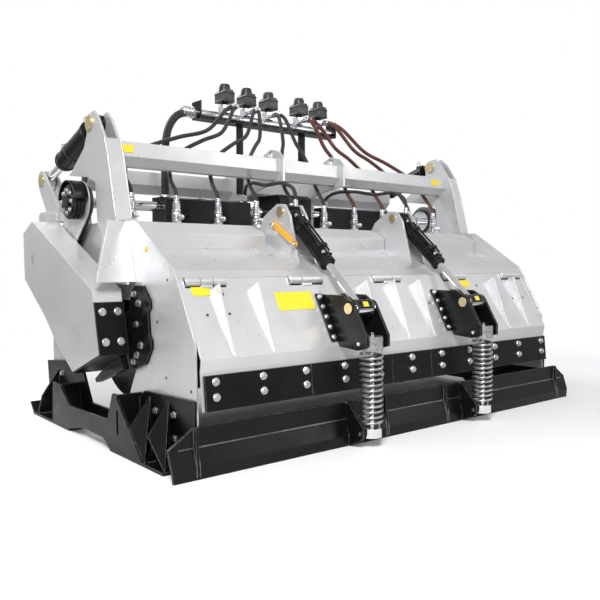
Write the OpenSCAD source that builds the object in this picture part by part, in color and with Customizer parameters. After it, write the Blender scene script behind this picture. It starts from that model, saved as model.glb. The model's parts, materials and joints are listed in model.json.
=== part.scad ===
// Tractor soil stabilizer: a hood on two skids with a toothed rotor carried by two swinging side cases.
// Millimetres. X is across the machine, +Y is forward to the tractor, Z is up, Z = 0 is the ground.
// The origin is on the ground, under the middle of the machine.
// Side-view places are written as shares [y of frame_len, z of frame_h].

/* [Frame] */
// Length that the side-view shares are taken of
frame_len = 2000; // [1900:10:2100]
// Height from the ground to the top of the side cases
frame_h = 1000; // [960:5:1040]
// Width over the outer faces of the side panels
panel_span = 2380; // [2300:10:2500]
// Thickness of the side panels
panel_t = 10; // [8:1:14]
// Thickness of the hood's bent plates
hood_t = 8; // [6:1:10]
// Gap between pieces that pass each other
gap = 4; // [2:0.5:5]
// Gap between pieces that are seated on each other
seat = 0.3; // [0.2:0.1:0.5]
// Radial clearance of a shaft or pin in its bore
run = 0.08; // [0.05:0.01:0.1]

/* [Side cases and rotor] */
// Depth of a side case, from its inner wall to its outer face
case_depth = 132; // [120:1:150]
// Wall of the side cases
case_wall = 10; // [8:1:14]
// Width from a side panel to its side case
case_gap = 48; // [44:1:60]
// Radius over the tips of the rotor's teeth
tip_r = 412; // [380:1:415]
// Radius of the rotor drum
drum_r = 290; // [250:5:310]
// Wall of the rotor drum
drum_wall = 20; // [14:1:30]
// Radius of the rotor shaft
rotor_shaft_r = 55; // [45:1:65]
// Tooth holders along one spiral of the rotor
holders_per_row = 15; // [8:1:18]
// Spirals of tooth holders round the rotor
spirals = 3; // [2:1:4]
// Teeth on each gear of the side drive
gear_teeth = 30; // [24:2:36]
// Width of the side drive's gears
gear_w = 40; // [30:1:50]
// Radius of the pivot axles that carry the side cases
axle_r = 25; // [20:1:30]

/* [Lift cylinders] */
// Outer radius of a lift barrel
lift_barrel_r = 50; // [40:1:54]
// Length of a lift barrel
lift_barrel_len = 350; // [320:5:355]
// Radius of a lift rod
lift_rod_r = 22; // [18:1:23]
// Radius of the pins at both ends of a lift cylinder
lift_pin_r = 22; // [18:1:26]
// Clearance round the pin in the lift rod's eye, for the swing of the linkage
lift_play = 8; // [7:0.5:10]

/* [Rear door] */
// Thickness of the door's skin
door_t = 8; // [6:1:10]
// Thickness of the bolt-on wear plates
wear_t = 12; // [8:1:16]
// Radius of the hinge pins
hinge_r = 12; // [10:1:14]
// Length of one hinge knuckle
knuckle_len = 60; // [50:5:80]
// Distance of each spring from the middle of the machine
spring_x = 397; // [380:1:420]
// Radius of a door cylinder's barrel
door_barrel_r = 35; // [30:1:40]
// Radius of a door cylinder's rod
door_rod_r = 18; // [14:1:20]
// Radius of the pins at both ends of a door cylinder
door_pin_r = 15; // [12:1:16]
// Clearance round the pin in the door rod's eye, for the swing of the linkage
door_play = 8; // [7:0.5:10]

/* [Springs and blade] */
// Outer radius of a spring
spring_r = 53; // [48:1:56]
// Radius of the spring's wire
wire_r = 6; // [5:0.5:7]
// Turns of a spring
spring_turns = 13.5; // [10:0.5:15]
// Radius of a guide rod
guide_r = 11; // [9:1:14]
// Width of the blade at the ground
blade_w = 2680; // [2640:10:2700]
// Thickness of the blade's plate
blade_t = 12; // [10:1:14]

/* [Skids] */
// Thickness of the skids' plates
skid_t = 12; // [10:1:16]
// Width of a skid's sole
skid_w = 120; // [100:5:130]

/* [Hitch and drive] */
// Radius of the lower hitch pins
hitch_pin_r = 18; // [14:0.5:20]
// Free length of a lower hitch pin
hitch_pin_len = 90; // [70:5:110]
// Distance between the middles of the lower hitch pins
hitch_span = 965; // [820:5:1010]
// Radius of the top link's pin bore
top_link_r = 16; // [12:0.5:20]
// Radius of the power take-off stub
pto_r = 22; // [17:0.5:24]
// Radius of the cross shafts
cross_shaft_r = 25; // [20:1:30]
// Radius of the belt pulleys
pulley_r = 70; // [60:1:75]

/* [Water system] */
// Number of water nozzles on the deck
nozzles = 10; // [6:2:12]
// Distance between neighbouring nozzles
nozzle_pitch = 240; // [200:5:245]
// Radius of the water hoses
hose_r = 11; // [9:0.5:13]
// Radius of the manifold pipe
manifold_r = 24; // [20:1:28]

/* [Hidden] */
$fn = 48;
cut = 1;

steel = "lightgray";
black = "#262626";
zinc = "silver";
chrome = "gainsboro";

// A side-view place in millimetres, from its share
function yz(s) = [s[0] * frame_len, s[1] * frame_h];
function outline(shares) = [for (s = shares) yz(s)];
// A place on the line from p to q, a length d from p
function along(p, q, d) = p + (q - p) * d / norm(q - p);

panel_out = panel_span / 2;
panel_in = panel_out - panel_t;
case_in = panel_out + case_gap;
case_out = case_in + case_depth;
door_half = panel_in - gap;

// Side-view places of the pins and shafts
pivot_share = [0.215, 0.82];
rotor_share = [-0.05, 0.47];
lever_end_share = [0.335, 1.24];
lift_top_share = [0.015, 1.445];
cross_share = [0.075, 1.09];
hinge_share = [-0.337, 0.727];
door_bend_share = [-0.4205, 0.433];
door_pin_top_share = [-0.2, 1.05];
door_pin_low_share = [-0.45, 0.604];
spring_y_share = -0.485;
pivot = yz(pivot_share);
rotor_c = yz(rotor_share);
lever_end = yz(lever_end_share);
lift_top = yz(lift_top_share);
cross_c = yz(cross_share);
hinge_c = yz(hinge_share);
door_bend = yz(door_bend_share);
door_pin_top = yz(door_pin_top_share);
door_pin_low = yz(door_pin_low_share);
spring_y = spring_y_share * frame_len;

// Copies its children to the other side as well
module both() {
    children();
    mirror([1, 0, 0]) children();
}
// A flat plate in the side view, from x0 outwards for t
module side_plate(points, x0, t) {
    translate([x0, 0, 0]) rotate([90, 0, 90]) linear_extrude(t) polygon(points);
}
// A side-view shape drawn by its children, from x0 outwards for t
module side_shape(x0, t) {
    translate([x0, 0, 0]) rotate([90, 0, 90]) linear_extrude(t) children();
}
// A round bar across the machine, at side-view place c
module xbar(c, r, x0, x1) {
    translate([x0, c[0], c[1]]) rotate([0, 90, 0]) cylinder(r = r, h = x1 - x0);
}
// A ring across the machine
module xring(c, r, r_in, x0, x1) {
    difference() {
        xbar(c, r, x0, x1);
        xbar(c, r_in, x0 - cut, x1 + cut);
    }
}
// A strip of plate along side-view points, t thick on its left hand
module bent_strip(points, t, x0, w) {
    n = len(points);
    shifted = [for (i = [n - 1:-1:0]) let (
        a = points[max(i - 1, 0)],
        b = points[min(i + 1, n - 1)],
        d = (b - a) / norm(b - a)) points[i] + t * [-d[1], d[0]]];
    side_plate(concat(points, shifted), x0, w);
}
// A bar between two side-view places, drawn flat
module flat_bar(p, q, r) {
    a = atan2(q[1] - p[1], q[0] - p[0]);
    translate(p) rotate(a) translate([0, -r]) square([norm(q - p), 2 * r]);
}
// The shape of a belt round two side-view places
module stadium(p, q, r_p, r_q) {
    hull() {
        translate(p) circle(r = r_p);
        translate(q) circle(r = r_q);
    }
}
// A hexagon head with its washer, standing on z = 0
module hex_head(r, h) {
    washer_t = h / 5;
    cylinder(r = r * 1.25, h = washer_t);
    translate([0, 0, washer_t - seat]) cylinder(r = r, h = h, $fn = 6);
}

// Side panels: plates with the slot that the rotor shaft swings in
panel_share = [[-0.1645, 0.99], [-0.327, 0.778], [-0.344, 0.727], [-0.407, 0.501], [-0.41, 0.267],
    [-0.414, 0.175], [-0.1325, 0.175], [-0.1325, 0.235], [-0.16, 0.33], [-0.1575, 0.6], [-0.14, 0.64],
    [-0.05, 0.64], [-0.01, 0.6], [0.04, 0.44], [0.11, 0.345], [0.15, 0.3], [0.15, 0.12],
    [0.33, 0.12], [0.33, 0.99]];
module side_panel() {
    color(steel) difference() {
        side_plate(outline(panel_share), panel_in, panel_t);
        xbar(pivot, axle_r + run, panel_in - cut, panel_out + cut);
    }
}
module left_side_panel() mirror([1, 0, 0]) side_panel();
module right_side_panel() side_panel();

// Hood shell: one bent plate over the rotor, with the knuckles of the door's hinges
hood_share = [[0.3, 0.42], [0.3, 0.985], [-0.04, 0.985], [-0.18, 0.86], [-0.225, 0.832],
    [-0.31, 0.77]];
hinges = 5;
hinge_pitch = (door_half - 2 * knuckle_len) * 2 / (hinges - 1);
knuckle_r = 20;
function hinge_x(i) = (i - (hinges - 1) / 2) * hinge_pitch;
module hood_shell() {
    roof = outline(hood_share);
    end = along(hinge_c, roof[len(roof) - 1], knuckle_r + gap);
    points = concat(roof, [end]);
    color(steel) difference() {
        union() {
            bent_strip(points, hood_t, -panel_in + seat, 2 * (panel_in - seat));
            for (i = [0:hinges - 1], s = [-1, 1]) {
                x = hinge_x(i) + s * (knuckle_len + gap / 2) - knuckle_len / 2;
                side_shape(x, knuckle_len) {
                    translate(hinge_c) circle(r = knuckle_r);
                    flat_bar(hinge_c, end, hood_t);
                }
            }
        }
        for (i = [0:hinges - 1]) {
            xbar(hinge_c, hinge_r + run, hinge_x(i) - 2 * knuckle_len, hinge_x(i) + 2 * knuckle_len);
        }
        for (k = [0:nozzles - 1]) {
            translate([nozzle_x(k), nozzle_y, deck_z - 2 * hood_t]) cylinder(r = nozzle_bore_r, h = 4 * hood_t);
        }
    }
}
deck_z = 0.985 * frame_h;
nozzle_y = -0.035 * frame_len;
nozzle_bore_r = 14;
function nozzle_x(k) = (k - (nozzles - 1) / 2) * nozzle_pitch;

panel_top = 0.99 * frame_h;

// Stiffening beams: three box beams on the roof's slope, with chamfered ends
beam_share = [[-0.107, 0.9252], [-0.107, 0.975], [-0.135, 0.985], [-0.17, 0.935], [-0.17, 0.8689]];
beam_inner_x = 335;
beam_outer_x = 500;
beam_chamfer = 40;
module beam(x0, x1) {
    points = outline(beam_share);
    top = [for (p = points) p[1]];
    difference() {
        side_plate([for (p = points) p + [0, seat]], x0, x1 - x0);
        for (e = [[x0, 1], [x1, -1]]) {
            translate([e[0], 0, max(top) + beam_chamfer / 2]) rotate([0, 45, 0])
                cube([beam_chamfer * 2, frame_len, beam_chamfer * 2], center = true);
        }
    }
}
module hood_beams() {
    color(steel) {
        beam(-beam_inner_x, beam_inner_x);
        both() beam(beam_outer_x, panel_in - seat);
    }
}

// Uprights: two fins with closing plates, standing on the side panels
fin_share = [[-0.0065, 1.497], [-0.03, 1.46], [-0.065, 1.36], [-0.0825, 1.27], [-0.1175, 1]];
fin_front_share = [[-0.02, 1], [-0.012, 1.17], [0.03, 1.2], [0.139, 1.228], [0.05, 1.34],
    [0.032, 1.4], [0.0375, 1.45], [0.02, 1.49]];
fin_foot_share = [[-0.1675, 0.71], [-0.1, 0.71]];
fin_t = 12;
fin_inset = 21;
fin_in_x = panel_in - fin_inset;
fin_out_x = case_in - fin_t - gap;
rear_plate_share = [[-0.1675, 0.72], [-0.1575, 0.72], [-0.1175, 0.985], [-0.1275, 0.985]];
flange_top_w = 40;
module upright() {
    rear = outline(fin_share);
    front = outline(fin_front_share);
    color(steel) difference() {
        union() {
            side_plate(concat(rear, front), fin_in_x, fin_t);
            side_plate(concat(rear, outline(fin_foot_share), front), fin_out_x, fin_t);
            bent_strip([rear[4], rear[3], rear[2]], -fin_t, fin_in_x, fin_out_x + fin_t - fin_in_x);
            bent_strip([front[1], front[2], front[3]], fin_t, fin_in_x, fin_out_x + fin_t - fin_in_x);
            side_plate([rear[4], rear[4] - [0, fin_t], front[0] - [0, fin_t], front[0]], fin_in_x,
                fin_out_x + fin_t - fin_in_x);
            intersection() {
                side_plate(outline(rear_plate_share), panel_out + seat, case_out - panel_out - seat);
                translate([0, frame_len, 0]) rotate([90, 0, 0]) linear_extrude(2 * frame_len)
                    polygon([[panel_out, 0], [case_out, 0], [case_out, rear_plate_share[0][1] * frame_h],
                        [case_in + flange_top_w, rear_plate_share[2][1] * frame_h], [panel_out, frame_h]]);
            }
        }
        xbar(lift_top, lift_pin_r + run, fin_in_x - cut, fin_out_x + fin_t + cut);
        translate([0, -frame_len / 2, 0]) cube([panel_out, frame_len, panel_top + seat]);
    }
}
module left_upright() mirror([1, 0, 0]) upright();
module right_upright() upright();

// Crossbars: tubes between the uprights and over the front of the deck
rear_bar_share = [[-0.05, 1.292], [-0.05, 1.359], [-0.005, 1.359], [-0.005, 1.25], [-0.03, 1.25]];
front_bar_share = [[0.175, 1.22], [0.175, 1.29], [0.22, 1.29], [0.22, 1.177], [0.195, 1.177]];
front_leg_share = [[0.175, 0.9853], [0.185, 1.1767], [0.21, 1.1767], [0.22, 0.9853]];
bar_wall = 8;
front_bar_inset = 50;
front_bar_half = fin_in_x - front_bar_inset;
front_leg_t = 15;
module tube_bar(points, half) {
    difference() {
        side_plate(points, -half, 2 * half);
        side_shape(-half - cut, 2 * (half + cut)) offset(delta = -bar_wall) polygon(points);
    }
}
module rear_crossbar() {
    color(steel) tube_bar(outline(rear_bar_share), fin_in_x - seat);
}
module front_crossbar() {
    color(steel) {
        tube_bar(outline(front_bar_share), front_bar_half);
        both() side_plate(outline(front_leg_share), front_bar_half - front_leg_t, front_leg_t);
        both() side_plate(outline(front_leg_share), hitch_x - front_leg_t / 2, front_leg_t);
    }
}

// Slot guards: black plates bolted round the slots of the side panels
guard_share = [[-0.1725, 0.706], [-0.208, 0.707], [-0.24, 0.643], [-0.241, 0.611], [-0.231, 0.597],
    [-0.235, 0.505], [-0.2445, 0.481], [-0.245, 0.446], [-0.218, 0.375], [-0.165, 0.34],
    [-0.1475, 0.365], [-0.1355, 0.412], [-0.1325, 0.458], [-0.125, 0.491], [-0.1225, 0.578],
    [-0.1475, 0.595], [-0.1525, 0.678]];
guard_bolt_share = [[-0.1705, 0.669], [-0.1915, 0.63], [-0.1785, 0.539], [-0.1985, 0.453],
    [-0.1795, 0.409], [-0.164, 0.377]];
guard_t = 12;
bolt_r = 13;
bolt_h = 10;
shank_r = 8;
module bolts_at(shares, x, depth) {
    for (s = shares) let (c = yz(s)) {
        translate([x, c[0], c[1]]) rotate([0, 90, 0]) hex_head(bolt_r, bolt_h);
        xbar(c, shank_r, x - depth, x + seat);
    }
}
module bolt_holes(shares, x0, x1) {
    for (s = shares) xbar(yz(s), shank_r + seat, x0, x1);
}
module slot_guards() {
    color(black) both() difference() {
        side_plate(outline(guard_share), panel_out + seat, guard_t);
        bolt_holes(guard_bolt_share, panel_out - cut, panel_out + guard_t + cut + seat);
    }
}

// Skids: sole plates, inner and outer plates and bent gussets
skid_in_share = [[-0.414, 0.277], [-0.2125, 0.263], [-0.17, 0.2], [-0.15, 0.125], [0.07, 0.125],
    [0.12, 0.28], [0.24, 0.294], [0.36, 0.27], [0.3455, 0.058], [0.3175, 0], [0.07, 0],
    [-0.006, 0.045], [-0.1195, 0.044], [-0.154, 0], [-0.3895, 0], [-0.414, 0.05]];
skid_out_share = [[-0.3005, 0.012], [-0.181, 0.251], [-0.17, 0.251], [-0.1445, 0.13], [0.0685, 0.123],
    [0.13, 0.205], [0.175, 0.21], [0.18, 0.012], [0.071, 0.012], [-0.006, 0.045], [-0.1195, 0.044],
    [-0.154, 0.012]];
toe_share = [[0.0765, 0], [0.3175, 0], [0.3455, 0.058], [0.3395, 0.0615], [0.3135, 0.012],
    [0.0765, 0.012]];
gusset_share = [[[-0.233, 0.244], [-0.2385, 0.131], [-0.302, 0.012]],
    [[-0.3115, 0.247], [-0.319, 0.124], [-0.384, 0.012]]];
toe_gusset_share = [[[0.28, 0.24], [0.27, 0.112], [0.3, 0.012]]];
skid_bolt_share = [[-0.26, 0.193], [-0.3365, 0.2], [0.2495, 0.225], [-0.338, 0.106]];
skid_x = panel_out + seat;
skid_slot_share = [-0.1875, 0.133];
skid_slot_len = 90;
skid_slot_r = 11;
// A bent gusset from the inner plate at a to the sole's edge at b and c
module skid_gusset(s) {
    a = yz(s[0]);
    b = yz(s[1]);
    c = yz(s[2]);
    x0 = skid_x + skid_t;
    x1 = skid_x + skid_w;
    foot = yz([s[0][0], toe_share[5][1]]);
    wall = skid_t * 0.8;
    hull() {
        side_plate([a, a - [wall, 0], [foot[0] - wall, foot[1]], foot], x0, cut);
        side_plate([b, b - [wall, 0], [c[0] - wall, c[1]], c], x1 - wall, cut);
    }
}
module skid() {
    color(black) difference() {
        union() {
            side_plate(outline(skid_in_share), skid_x, skid_t);
            side_plate(outline(skid_out_share), skid_x + skid_w - skid_t, skid_t);
            side_plate(outline([[-0.3895, 0], [-0.154, 0], [-0.154, 0.012], [-0.3895, 0.012]]), skid_x, skid_w);
            side_plate(outline(toe_share), skid_x, skid_w);
            side_plate(outline([[-0.19, 0.012], [-0.19, 0.25], [-0.184, 0.25], [-0.184, 0.012]]), skid_x, skid_w);
            side_plate(outline([[0.12, 0.012], [0.14, 0.205], [0.146, 0.205], [0.126, 0.012]]), skid_x, skid_w);
            for (s = concat(gusset_share, toe_gusset_share)) skid_gusset(s);
        }
        bolt_holes(skid_bolt_share, skid_x - cut, skid_x + skid_t + cut);
        side_shape(skid_x + skid_w - skid_t - cut, skid_t + 2 * cut) for (m = [-1, 1])
            translate(yz([skid_slot_share[0], skid_slot_share[1]]) + [-skid_slot_r, m * skid_slot_len / 2])
                circle(r = skid_slot_r);
        side_shape(skid_x + skid_w - skid_t - cut, skid_t + 2 * cut)
            translate(yz(skid_slot_share) - [2 * skid_slot_r, skid_slot_len / 2]) square([2 * skid_slot_r, skid_slot_len]);
    }
}
module left_skid() mirror([1, 0, 0]) skid();
module right_skid() skid();
module frame_bolts() {
    color(zinc) both() {
        bolts_at(guard_bolt_share, panel_out + seat + guard_t, guard_t - seat);
        bolts_at(skid_bolt_share, skid_x + skid_t, skid_t - seat);
    }
}

// Hitch: lug plates over the crossbars, two lower hitch plates and the top link's clevis
lug_share = [[-0.065, 1.24], [-0.065, 1.36], [-0.045, 1.4], [-0.01, 1.42], [0.02, 1.4], [0.035, 1.35],
    [0.15, 1.32], [0.225, 1.31], [0.25, 1.25], [0.23, 1.14], [0.15, 1.16], [0.01, 1.225]];
lug_eye_share = [-0.01, 1.39];
lug_x = 220;
lug_t = 14;
hitch_plate_t = 25;
hitch_x = hitch_span / 2 - hitch_pin_len / 2 - hitch_plate_t;
hitch_nose_r = 48;
hitch_pin_share = [0.4875, 0.56];
top_link_share = [0.42, 1.25];
hitch_plate_share = [[0.3002, 0.45], [0.3002, 0.97], [0.35, 0.97], [0.5, 0.58], [0.47, 0.515], [0.35, 0.43]];
clevis_x = 30;
clevis_t = 15;
clevis_r = 42;
clevis_share = [[0.2203, 1.19], [0.2203, 1.285], [0.41, 1.29], [0.42, 1.21]];
module hitch_frame() {
    color(steel) {
        both() difference() {
            side_shape(lug_x - lug_t / 2, lug_t) difference() {
                polygon(outline(lug_share));
                offset(delta = seat) polygon(outline(rear_bar_share));
                offset(delta = seat) polygon(outline(front_bar_share));
                translate(yz(lug_eye_share)) circle(r = hitch_pin_r);
            }
        }
        both() difference() {
            side_shape(hitch_x, hitch_plate_t) {
                polygon(outline(hitch_plate_share));
                translate(yz(hitch_pin_share)) circle(r = hitch_nose_r);
            }
            xbar(yz(hitch_pin_share), hitch_shank_r + run, hitch_x - cut, hitch_x + hitch_plate_t + cut);
        }
        both() difference() {
            side_shape(clevis_x, clevis_t) {
                polygon(outline(clevis_share));
                translate(yz(top_link_share)) circle(r = clevis_r);
            }
            xbar(yz(top_link_share), top_link_r, clevis_x - cut, clevis_x + clevis_t + cut);
        }
    }
}
hitch_shank_r = hitch_pin_r + 4;
module hitch_pins() {
    collar_t = 6;
    shank_end = hitch_x + hitch_plate_t;
    color("goldenrod") both() {
        xbar(yz(hitch_pin_share), hitch_pin_r, shank_end - cut, shank_end + hitch_pin_len);
        xbar(yz(hitch_pin_share), hitch_shank_r, hitch_x - collar_t, shank_end);
        xbar(yz(hitch_pin_share), hitch_pin_r * 1.5, hitch_x - 2 * collar_t, hitch_x - seat);
    }
}

// Drive: the gearbox over the deck, its guards, the cross shafts, limiters and belts
box_half = 115;
box_share = [[0.02, 0.9855], [0.02, 1.17], [0.035, 1.19], [0.13, 1.19], [0.145, 1.17], [0.145, 0.9855]];
box_wall = 12;
module gearbox_housing() {
    points = outline(box_share);
    color(black) difference() {
        side_plate(points, -box_half, 2 * box_half);
        side_shape(-box_half + box_wall, 2 * (box_half - box_wall)) offset(delta = -box_wall) polygon(points);
        xbar(cross_c, cross_shaft_r + run, -box_half - cut, box_half + cut);
        translate([0, cross_c[0], cross_c[1]]) rotate([-90, 0, 0])
            cylinder(r = pto_shaft_r + run, h = frame_len / 4);
    }
}
bevel_in = 45;
bevel_out = 68;
bevel_play = 1;
module bevel() {
    translate([0, 0, bevel_in]) cylinder(r1 = bevel_in - bevel_play, r2 = bevel_out - bevel_play,
        h = bevel_out - bevel_in);
}
pto_end_share = 0.39;
pto_spline = 75;
pto_shaft_r = pto_r + 4;
module pto_shaft() {
    reach = pto_end_share * frame_len - cross_c[0];
    color(chrome) translate([0, cross_c[0], cross_c[1]]) rotate([-90, 0, 0]) {
        bevel();
        translate([0, 0, bevel_in]) cylinder(r = pto_shaft_r, h = reach - pto_spline - bevel_in);
        translate([0, 0, reach - pto_spline - cut]) cylinder(r = pto_r, h = pto_spline + cut);
    }
}
pulley_gap = 11;
pulley_x = panel_out + pulley_gap;
pulley_w = 22;
limiter_x = case_in + 2 * gap;
limiter_w = 54;
limiter_r = 82;
module cross_shafts() {
    color(chrome) {
        xbar(cross_c, cross_shaft_r, -limiter_x - limiter_w, limiter_x + limiter_w);
        translate([0, cross_c[0], cross_c[1]]) rotate([0, 90, 0]) bevel();
        both() xbar(cross_c, pulley_r, pulley_x, pulley_x + pulley_w);
    }
}
module torque_limiters() {
    ribs = 3;
    color(black) both() difference() {
        union() {
            xbar(cross_c, limiter_r * 0.86, limiter_x, limiter_x + limiter_w);
            for (i = [0:ribs - 1]) {
                x = limiter_x + i * limiter_w / ribs;
                xbar(cross_c, limiter_r, x, x + limiter_w / ribs / 2);
            }
        }
        xbar(cross_c, cross_shaft_r + seat, limiter_x - cut, limiter_x + limiter_w + cut);
    }
}
belt_t = 8;
module drive_belts() {
    color(black) both() side_shape(pulley_x, pulley_w) difference() {
        stadium(pivot, cross_c, pulley_r + belt_t, pulley_r + belt_t);
        stadium(pivot, cross_c, pulley_r + seat, pulley_r + seat);
    }
}
cover_play = 4;
cover_t = 6;
cover_x = case_in - gap - cover_t;
post_r = 12;
sleeve_r = 45;
module belt_covers() {
    posts = [along(pivot, cross_c, norm(cross_c - pivot) * 0.4), along(pivot, cross_c, norm(cross_c - pivot) * 0.55)];
    color(steel) both() {
        difference() {
            side_shape(cover_x, cover_t)
                stadium(pivot, cross_c, pulley_r + belt_t + cover_play, guard_arc_r + guard_arc_t);
            xbar(cross_c, cross_shaft_r + gap, cover_x - cut, cover_x + cover_t + cut);
            xbar(pivot, sleeve_r + gap, cover_x - cut, cover_x + cover_t + cut);
        }
        for (p = posts) xbar(p, post_r, panel_out + seat, cover_x + cut);
    }
}
guard_arc_r = limiter_r + 14;
guard_arc_t = 5;
guard_box_share = [[0.04, 0.985], [0.04, 1.13], [0.055, 1.14], [0.11, 1.14], [0.11, 0.985]];
guard_box_x = [290, 820];
module drive_guards() {
    color(black) {
        both() difference() {
            xring(cross_c, guard_arc_r + guard_arc_t, guard_arc_r, cover_x + cover_t + seat,
                limiter_x + limiter_w + gap);
            translate([0, 0, cross_c[1] - frame_h + post_r]) cube([2 * case_out, frame_len, frame_h]);
        }
        both() difference() {
            side_plate([for (p = outline(guard_box_share)) [p[0], max(p[1], deck_z + seat)]],
                guard_box_x[0], guard_box_x[1] - guard_box_x[0]);
            xbar(cross_c, cross_shaft_r + gap, guard_box_x[0] - cut, guard_box_x[1] + cut);
        }
        translate([0, yz([box_share[4][0], 0])[0] + seat, cross_c[1]]) rotate([-90, 0, 0]) difference() {
            cylinder(r = pto_r * 2.6, h = pto_end_share * frame_len - box_share[4][0] * frame_len - pto_spline);
            translate([0, 0, -cut]) cylinder(r = pto_r * 2.3, h = frame_len);
        }
    }
}

// Side cases: welded boxes that swing on the pivot axles and carry the rotor
case_share = [[0.1725, 0.972], [-0.143, 0.69], [-0.175, 0.421], [-0.0305, 0.316], [0.06, 0.421],
    [0.134, 0.541], [0.229, 0.66], [0.2765, 0.719], [0.281, 0.95], [0.213, 1.007]];
hub_r = 85;
hub_x = panel_out + guard_t + gap;
module drive_case() {
    points = outline(case_share);
    color(steel) difference() {
        union() {
            side_plate(points, case_in, case_depth);
            xbar(rotor_c, hub_r, hub_x, case_in + cut);
        }
        side_shape(case_in + case_wall, case_depth - 2 * case_wall) offset(delta = -case_wall) polygon(points);
        xbar(pivot, axle_r + run, case_out - case_wall - cut, case_out + cut);
        xbar(pivot, sleeve_r + run, case_in - cut, case_in + case_wall + cut);
        xbar(rotor_c, rotor_shaft_r + run, hub_x - cut, case_in + case_wall + cut);
    }
}
module left_drive_case() mirror([1, 0, 0]) drive_case();
module right_drive_case() drive_case();

// Black plates bolted under and behind the side cases
rear_cover_share = [[-0.25, 0.637], [-0.1, 0.637], [-0.1, 0.36], [-0.0307, 0.36], [-0.0307, 0.25], [-0.25, 0.25]];
slot_cover_share = [[-0.145, 0.34], [-0.005, 0.247], [0.002, 0.262], [-0.06, 0.34], [-0.13, 0.405]];
case_cover_t = 8;
case_bolt_r = 17;
case_bolt_h = 9;
module case_covers() {
    color(black) both() {
        side_shape(case_in, case_depth) difference() {
            intersection() {
                offset(delta = seat + case_cover_t) polygon(outline(case_share));
                polygon(outline(rear_cover_share));
            }
            offset(delta = seat) polygon(outline(case_share));
        }
        side_plate(outline(slot_cover_share), hub_x, case_in - hub_x - seat);
    }
}
module case_bolts() {
    low = yz(case_share[2]);
    top = low + (yz(case_share[1]) - low) * (rear_cover_share[0][1] - case_share[2][1])
        / (case_share[1][1] - case_share[2][1]);
    lean = atan2(top[0] - low[0], top[1] - low[1]);
    span = norm(top - low);
    color(zinc) both() {
        for (x = [0.24, 0.76], d = [0.2, 0.78]) let (c = along(top, low, d * span)) {
            translate([case_in + x * case_depth, c[0], c[1]]) rotate([90 - lean, 0, 0])
                translate([0, 0, case_cover_t + 2 * seat]) {
                    cylinder(r = case_bolt_r, h = case_bolt_h * 0.5);
                    cylinder(r = case_bolt_r * 0.8, h = case_bolt_h);
                }
        }
    }
}

// Levers: twin lugs on each side case that the lift rods pull
lift_x = (fin_in_x + fin_out_x + fin_t) / 2;
lever_share = [[0.225, 1.012], [0.281, 1.012], [0.36, 1.215], [0.3105, 1.262], [0.225, 1.09]];
lever_block_share = [[0.226, 1.012], [0.229, 1.06], [0.278, 1.06], [0.279, 1.012]];
lever_shoe_share = [[0.226, 1], [0.226, 1.05], [0.279, 1.05], [0.279, 1]];
lever_r = 50;
lever_t = 12;
lever_half = (fin_out_x - fin_in_x - fin_t) / 2;
lever_foot = 52;
// The lever's shoe follows the roof of the case
function lever_shoe() = let (
    p = outline(lever_shoe_share), a = yz(case_share[9]), b = yz(case_share[8]), slope = (b[1] - a[1]) / (b[0] - a[0]))
    [[p[0][0], a[1] + (p[0][0] - a[0]) * slope + seat], p[1], p[2], [p[3][0], a[1] + (p[3][0] - a[0]) * slope + seat]];
module arm_levers() {
    color(steel) both() difference() {
        union() {
            for (x = [lift_x - lever_half - lever_t, lift_x + lever_half]) side_shape(x, lever_t) {
                polygon(outline(lever_share));
                translate(lever_end) circle(r = lever_r);
            }
            side_plate(outline(lever_block_share), lift_x - lever_half - lever_t,
                2 * (lever_half + lever_t) + lever_foot);
            side_plate(lever_shoe(), case_in + gap, lever_foot - gap);
        }
        xbar(lever_end, lift_pin_r + run, panel_in - panel_t * 3, case_out);
    }
}
module arm_pins() {
    head_t = 6;
    color("goldenrod") both() {
        xbar(lever_end, lift_pin_r, lift_x - lever_half - lever_t - head_t, lift_x + lever_half + lever_t + head_t);
        xring(lever_end, lift_pin_r * 1.5, lift_pin_r + seat, lift_x + lever_half + lever_t + seat,
            lift_x + lever_half + lever_t + head_t);
        xring(lever_end, lift_pin_r * 1.5, lift_pin_r + seat, lift_x - lever_half - lever_t - head_t,
            lift_x - lever_half - lever_t - seat);
    }
}

// Side drive: four equal gears in each case, from the pivot down to the rotor
drive_len = norm(rotor_c - pivot);
pitch_r = drive_len / 6;
gear_mod = 2 * pitch_r / gear_teeth;
drive_angle = atan2(rotor_c[1] - pivot[1], rotor_c[0] - pivot[0]);
gear_x = (case_in + case_out - gear_w) / 2;
gear_bore_r = 20;
// A spur gear with short straight teeth and play between the flanks
module gear_outline(phase) {
    root_r = pitch_r - 1.1 * gear_mod;
    top_r = pitch_r + 0.75 * gear_mod;
    circle(r = root_r);
    for (i = [0:gear_teeth - 1]) rotate(phase + i * 360 / gear_teeth)
        polygon([[root_r - gear_mod, -0.85 * gear_mod], [root_r, -0.85 * gear_mod], [top_r, -0.4 * gear_mod],
            [top_r, 0.4 * gear_mod], [root_r, 0.85 * gear_mod], [root_r - gear_mod, 0.85 * gear_mod]]);
}
module gear_at(i) {
    c = along(pivot, rotor_c, i * drive_len / 3);
    phase = drive_angle + (i % 2) * 180 / gear_teeth;
    side_shape(gear_x, gear_w) translate(c) gear_outline(phase);
}
module pivot_axles() {
    head_t = 8;
    color(zinc) both() {
        xbar(pivot, axle_r, panel_in - head_t, case_out);
        xring(pivot, axle_r * 1.5, axle_r + seat, panel_in - head_t, panel_in - seat);
    }
}
module input_gears() {
    color(zinc) both() difference() {
        union() {
            xbar(pivot, pulley_r, pulley_x, pulley_x + pulley_w);
            xbar(pivot, sleeve_r, pulley_x + pulley_w - cut, gear_x + cut);
            gear_at(0);
        }
        xbar(pivot, axle_r + run, panel_out, case_out);
    }
}
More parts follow.
